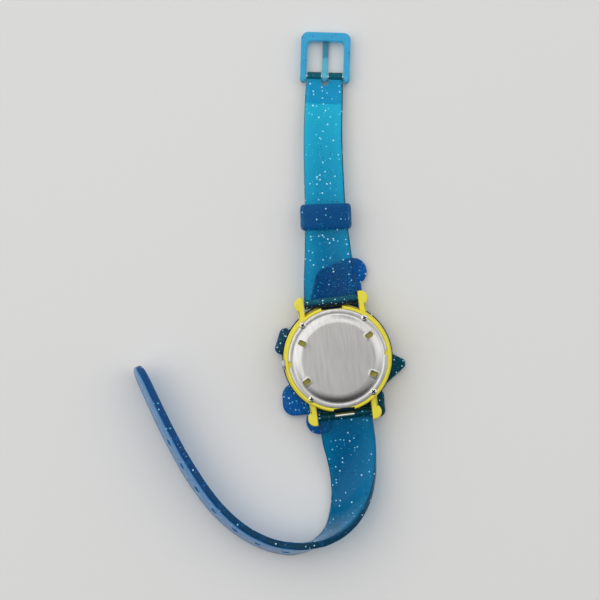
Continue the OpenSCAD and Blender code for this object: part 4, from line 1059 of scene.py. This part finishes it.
class WATCH_OT_front(bpy.types.Operator):
    """Crystal, dial, numbers and hands"""

    bl_idname = "watch.front"
    bl_label = "Dial and crystal"

    def execute(self, context):
        black = material("black_hand_enamel", moulded_plastic, "#101012", "#19191c", 0.25, 0.2, 0.002)
        red = material("red_hand_enamel", moulded_plastic, "#c4161a", "#d42226", 0.25, 0.2, 0.002)
        outer, wall, face_t, glass_h = 10.4, 0.8, 1.0, 2.9
        corners = [(0, 0, 0), (outer, 0, 0.3), (outer, glass_h, 0.08), (outer - wall, glass_h, 0.08),
                   (outer - wall, face_t, 0.1), (0, face_t, 0)]
        acrylic = material("clear_acrylic_polished", clear_acrylic)
        glass = scratch(lathe(soften(corners), 200), "crystal", acrylic)
        finish_piece(glass, "crystal_clear", "case", "clear_acrylic", "crystal")
        dress("dial", material("white_dial_lacquer", moulded_plastic, "#eeece4", "#f6f4ee", 0.45, 0.2, 0.003))
        bevelled("hour_hand_piece", "hour_hand", "hours", "black_enamel", black, 0.04)
        bevelled("minute_hand_piece", "minute_hand", "minutes", "black_enamel", black, 0.04)
        bevelled("second_hand_piece", "second_hand", "seconds", "red_enamel", red, 0.03)
        marks = scratch(dial_marks(), "marks", black)
        finish_piece(marks, "dial_numbers", "case", "black_enamel", degrees=None)
        return {"FINISHED"}


class WATCH_OT_movement(bpy.types.Operator):
    """Finishes for the works inside the case"""

    bl_idname = "watch.movement"
    bl_label = "Movement"

    def execute(self, context):
        plastics = [
            ("nitrile_gasket", "#151515", "#1e1e1e", 0.7, "back_gasket"),
            ("nylon_holder_moulded", "#b3a83c", "#c2b848", 0.5, "movement_holder"),
            ("black_plate_resin", "#141416", "#1c1c20", 0.45, "mainplate"),
            ("green_board_laminate", "#0e4a26", "#156033", 0.35, "circuit_board"),
            ("black_chip_resin", "#0c0c0c", "#161616", 0.6, "chip")]
        # the spacing and depth of the grain in mm, and how it is stretched, follow the roughness
        metals = [
            ("enamelled_copper_winding", "#8c3f1c", "#a9532a", (0.3, 0.12, 0.02, (1, 0.02, 0.02)), ["coil"]),
            ("stator_iron_stamped", "#85858a", "#96969a", (0.4,), ["stator"]),
            ("rotor_magnet_ground", "#585c62", "#6a6e74", (0.4,), ["rotor"]),
            ("nickel_cell_can", "#c6c5c1", "#d8d7d3", (0.2,), ["battery", "quartz_can"]),
            ("gilt_contact_spring", "#d2ac50", "#e0be6a", (0.25,), ["battery_contact"]),
            ("bridge_steel_satin", "#bdbcb8", "#cfcec9", (0.36, 0.15, 0.004, (1, 0.1, 1)),
             ["train_bridge", "battery_clamp", "setting_slider", "stem"]),
            ("brass_wheel_stamped", "#c9a24a", "#dbb865", (0.3, 0.12, 0.003),
             [wheel + "_wheel" for wheel in ("fifth", "seconds", "third", "centre", "minute", "hour")])]
        for name, hex_a, hex_b, roughness, node in plastics:
            dress(node, material(name, moulded_plastic, hex_a, hex_b, roughness))
        for name, hex_a, hex_b, finish, nodes in metals:
            for node in nodes:
                dress(node, material(name, worked_metal, hex_a, hex_b, *finish))
        dress("bridge_screws", screw_steel())
        return {"FINISHED"}


class WATCH_OT_metalwork(bpy.types.Operator):
    """Crown and spring bars"""

    bl_idname = "watch.metalwork"
    bl_label = "Crown and spring bars"

    def execute(self, context):
        chrome = material("chromed_crown", worked_metal, "#b4b4b2", "#c6c6c4", 0.28, 0.15, 0.001)
        bevelled("crown_knob", "crown", "crown", "crown_chrome", chrome, 0.05)
        for end in ("upper", "lower"):
            for part in ("tube", "spring", "left_tip", "right_tip"):
                dress(f"{end}_bar_{part}", bar_steel())
        return {"FINISHED"}


def table_top():
    """The table top: pale matt board."""
    size, sunk = 1.5, 0.02
    board, tree, coords = new_material("matt_board_floor")
    fac, normal = grain(tree, coords, 2.5, 0.02)
    share = add(tree, "MapRange", inputs={"Value": fac, "To Min": 0.0, "To Max": 0.06})
    base = add(tree, "Mix", COLOURS, {
        SHARE: share.outputs["Result"], FIRST: tuple(settings().floor_colour), SECOND: linear("#c9c8c6")})
    shaded(board, tree, {"Base Color": base.outputs[MIXED], "Roughness": 0.85, "Normal": normal})
    bm = bmesh.new()
    bmesh.ops.create_grid(bm, x_segments=8, y_segments=8, size=size)
    floor = scratch(bm, "floor", board)
    floor.location.z = -sunk * MM


def room_light():
    """A bright room with a dark side towards six, half as bright straight above where the camera hangs."""
    shades = ((0.0, 0.04), (0.2, 0.06), (0.3, 1.0), (0.6, 0.98), (0.72, 0.56), (1.0, 0.44))
    world = bpy.data.worlds.new("studio")
    bpy.context.scene.world = world
    world.use_nodes = True
    tree = world.node_tree
    tree.nodes.clear()
    way = add(tree, "TexCoord").outputs["Generated"]
    parts = add(tree, "SeparateXYZ", inputs={"Vector": way}).outputs
    ahead = add(tree, "MapRange", inputs={"Value": parts["Y"], "From Min": -1.0, "From Max": 1.0})
    ramp = add(tree, "ValToRGB", inputs={0: ahead.outputs["Result"]})
    ramp.color_ramp.interpolation = "EASE"
    stops = ramp.color_ramp.elements
    for place, shade in shades:
        stops.new(place).color = (shade, shade, shade, 1)
    stops.remove(stops[0])
    stops.remove(stops[len(stops) - 1])
    above = add(tree, "MapRange", {"interpolation_type": "SMOOTHSTEP"}, {
        "Value": parts["Z"], "From Min": 0.42, "From Max": 0.96, "To Min": 1.0, "To Max": 0.5})
    level = add(tree, "Math", {"operation": "MULTIPLY"}, {
        0: ramp.outputs["Color"], 1: above.outputs["Result"]}).outputs[0]
    # the camera and the clear pieces see a plain pale backdrop in its place
    paths = add(tree, "LightPath").outputs
    seen = add(tree, "Math", {"operation": "MAXIMUM"}, {
        0: paths["Is Camera Ray"], 1: paths["Is Transmission Ray"]}).outputs[0]
    lit = add(tree, "Background", inputs={"Color": (0.97, 0.985, 1.0, 1), "Strength": level})
    plain = add(tree, "Background", inputs={"Color": linear("#dbdad8"), "Strength": 1.0})
    sky = add(tree, "MixShader", inputs={0: seen, 1: lit.outputs[0], 2: plain.outputs[0]})
    add(tree, "OutputWorld", inputs={"Surface": sky.outputs[0]})


def lamp(name, place, size, power):
    """A square soft lamp that looks at the watch, in metres and watts."""
    data = bpy.data.lights.new(name, "AREA")
    data.shape = "SQUARE"
    data.size = size
    data.energy = power
    made = placed(name, data)
    made.location = place
    made.rotation_euler = (-Vector(place)).to_track_quat("-Z", "Y").to_euler()


def overhead_camera(height):
    """The photo's view: straight down, with the scale set on the level of the case back's flange."""
    picture_px, px_per_mm, level_mm, sensor_mm, turn = 600, 3.86, 5, 36, -7.07
    over_x_mm, over_y_mm = -7.86, 16.16
    data = bpy.data.cameras.new("overhead")
    data.sensor_width = sensor_mm
    data.lens = sensor_mm * (height - level_mm * MM) / (picture_px / px_per_mm * MM)
    data.clip_start = 0.01
    camera = placed("overhead", data)
    camera.location = (over_x_mm * MM, over_y_mm * MM, height)
    camera.rotation_euler = (0, 0, math.radians(turn))
    bpy.context.scene.camera = camera


class WATCH_OT_stage(bpy.types.Operator):
    """Floor, light and camera"""

    bl_idname = "watch.stage"
    bl_label = "Stage"

    def execute(self, context):
        power, fill_share = settings().lamp_power, 0.35
        table_top()
        room_light()
        lamp("window_lamp", (-0.5, 0.45, 0.9), 1.5, power)
        lamp("fill_lamp", (0.7, 0.3, 0.9), 1.0, power * fill_share)
        overhead_camera(settings().camera_height)
        context.scene.view_settings.view_transform = "Standard"
        return {"FINISHED"}


PIECES = (WATCH_OT_case, WATCH_OT_case_back, WATCH_OT_charms, WATCH_OT_front, WATCH_OT_movement,
          WATCH_OT_metalwork, WATCH_OT_straps, WATCH_OT_keeper, WATCH_OT_buckle, WATCH_OT_stage)


class WATCH_PT_panel(bpy.types.Panel):
    """Lists the watch's pieces and settings"""

    bl_idname = "WATCH_PT_panel"
    bl_label = "Toy wristwatch"
    bl_space_type = "VIEW_3D"
    bl_region_type = "UI"
    bl_category = "Watch"

    def draw(self, context):
        for name in WatchSettings.__annotations__:
            self.layout.prop(context.scene.watch, name)
        for operator in PIECES:
            self.layout.operator(operator.bl_idname)


CLASSES = (WatchSettings, *PIECES, WATCH_PT_panel)


def register():
    for cls in CLASSES:
        bpy.utils.register_class(cls)
    bpy.types.Scene.watch = bpy.props.PointerProperty(type=WatchSettings)


def unregister():
    del bpy.types.Scene.watch
    for cls in reversed(CLASSES):
        bpy.utils.unregister_class(cls)


def main():
    register()
    for operator in PIECES:
        getattr(bpy.ops.watch, operator.bl_idname.split(".")[1])()


if __name__ == "__main__":
    main()
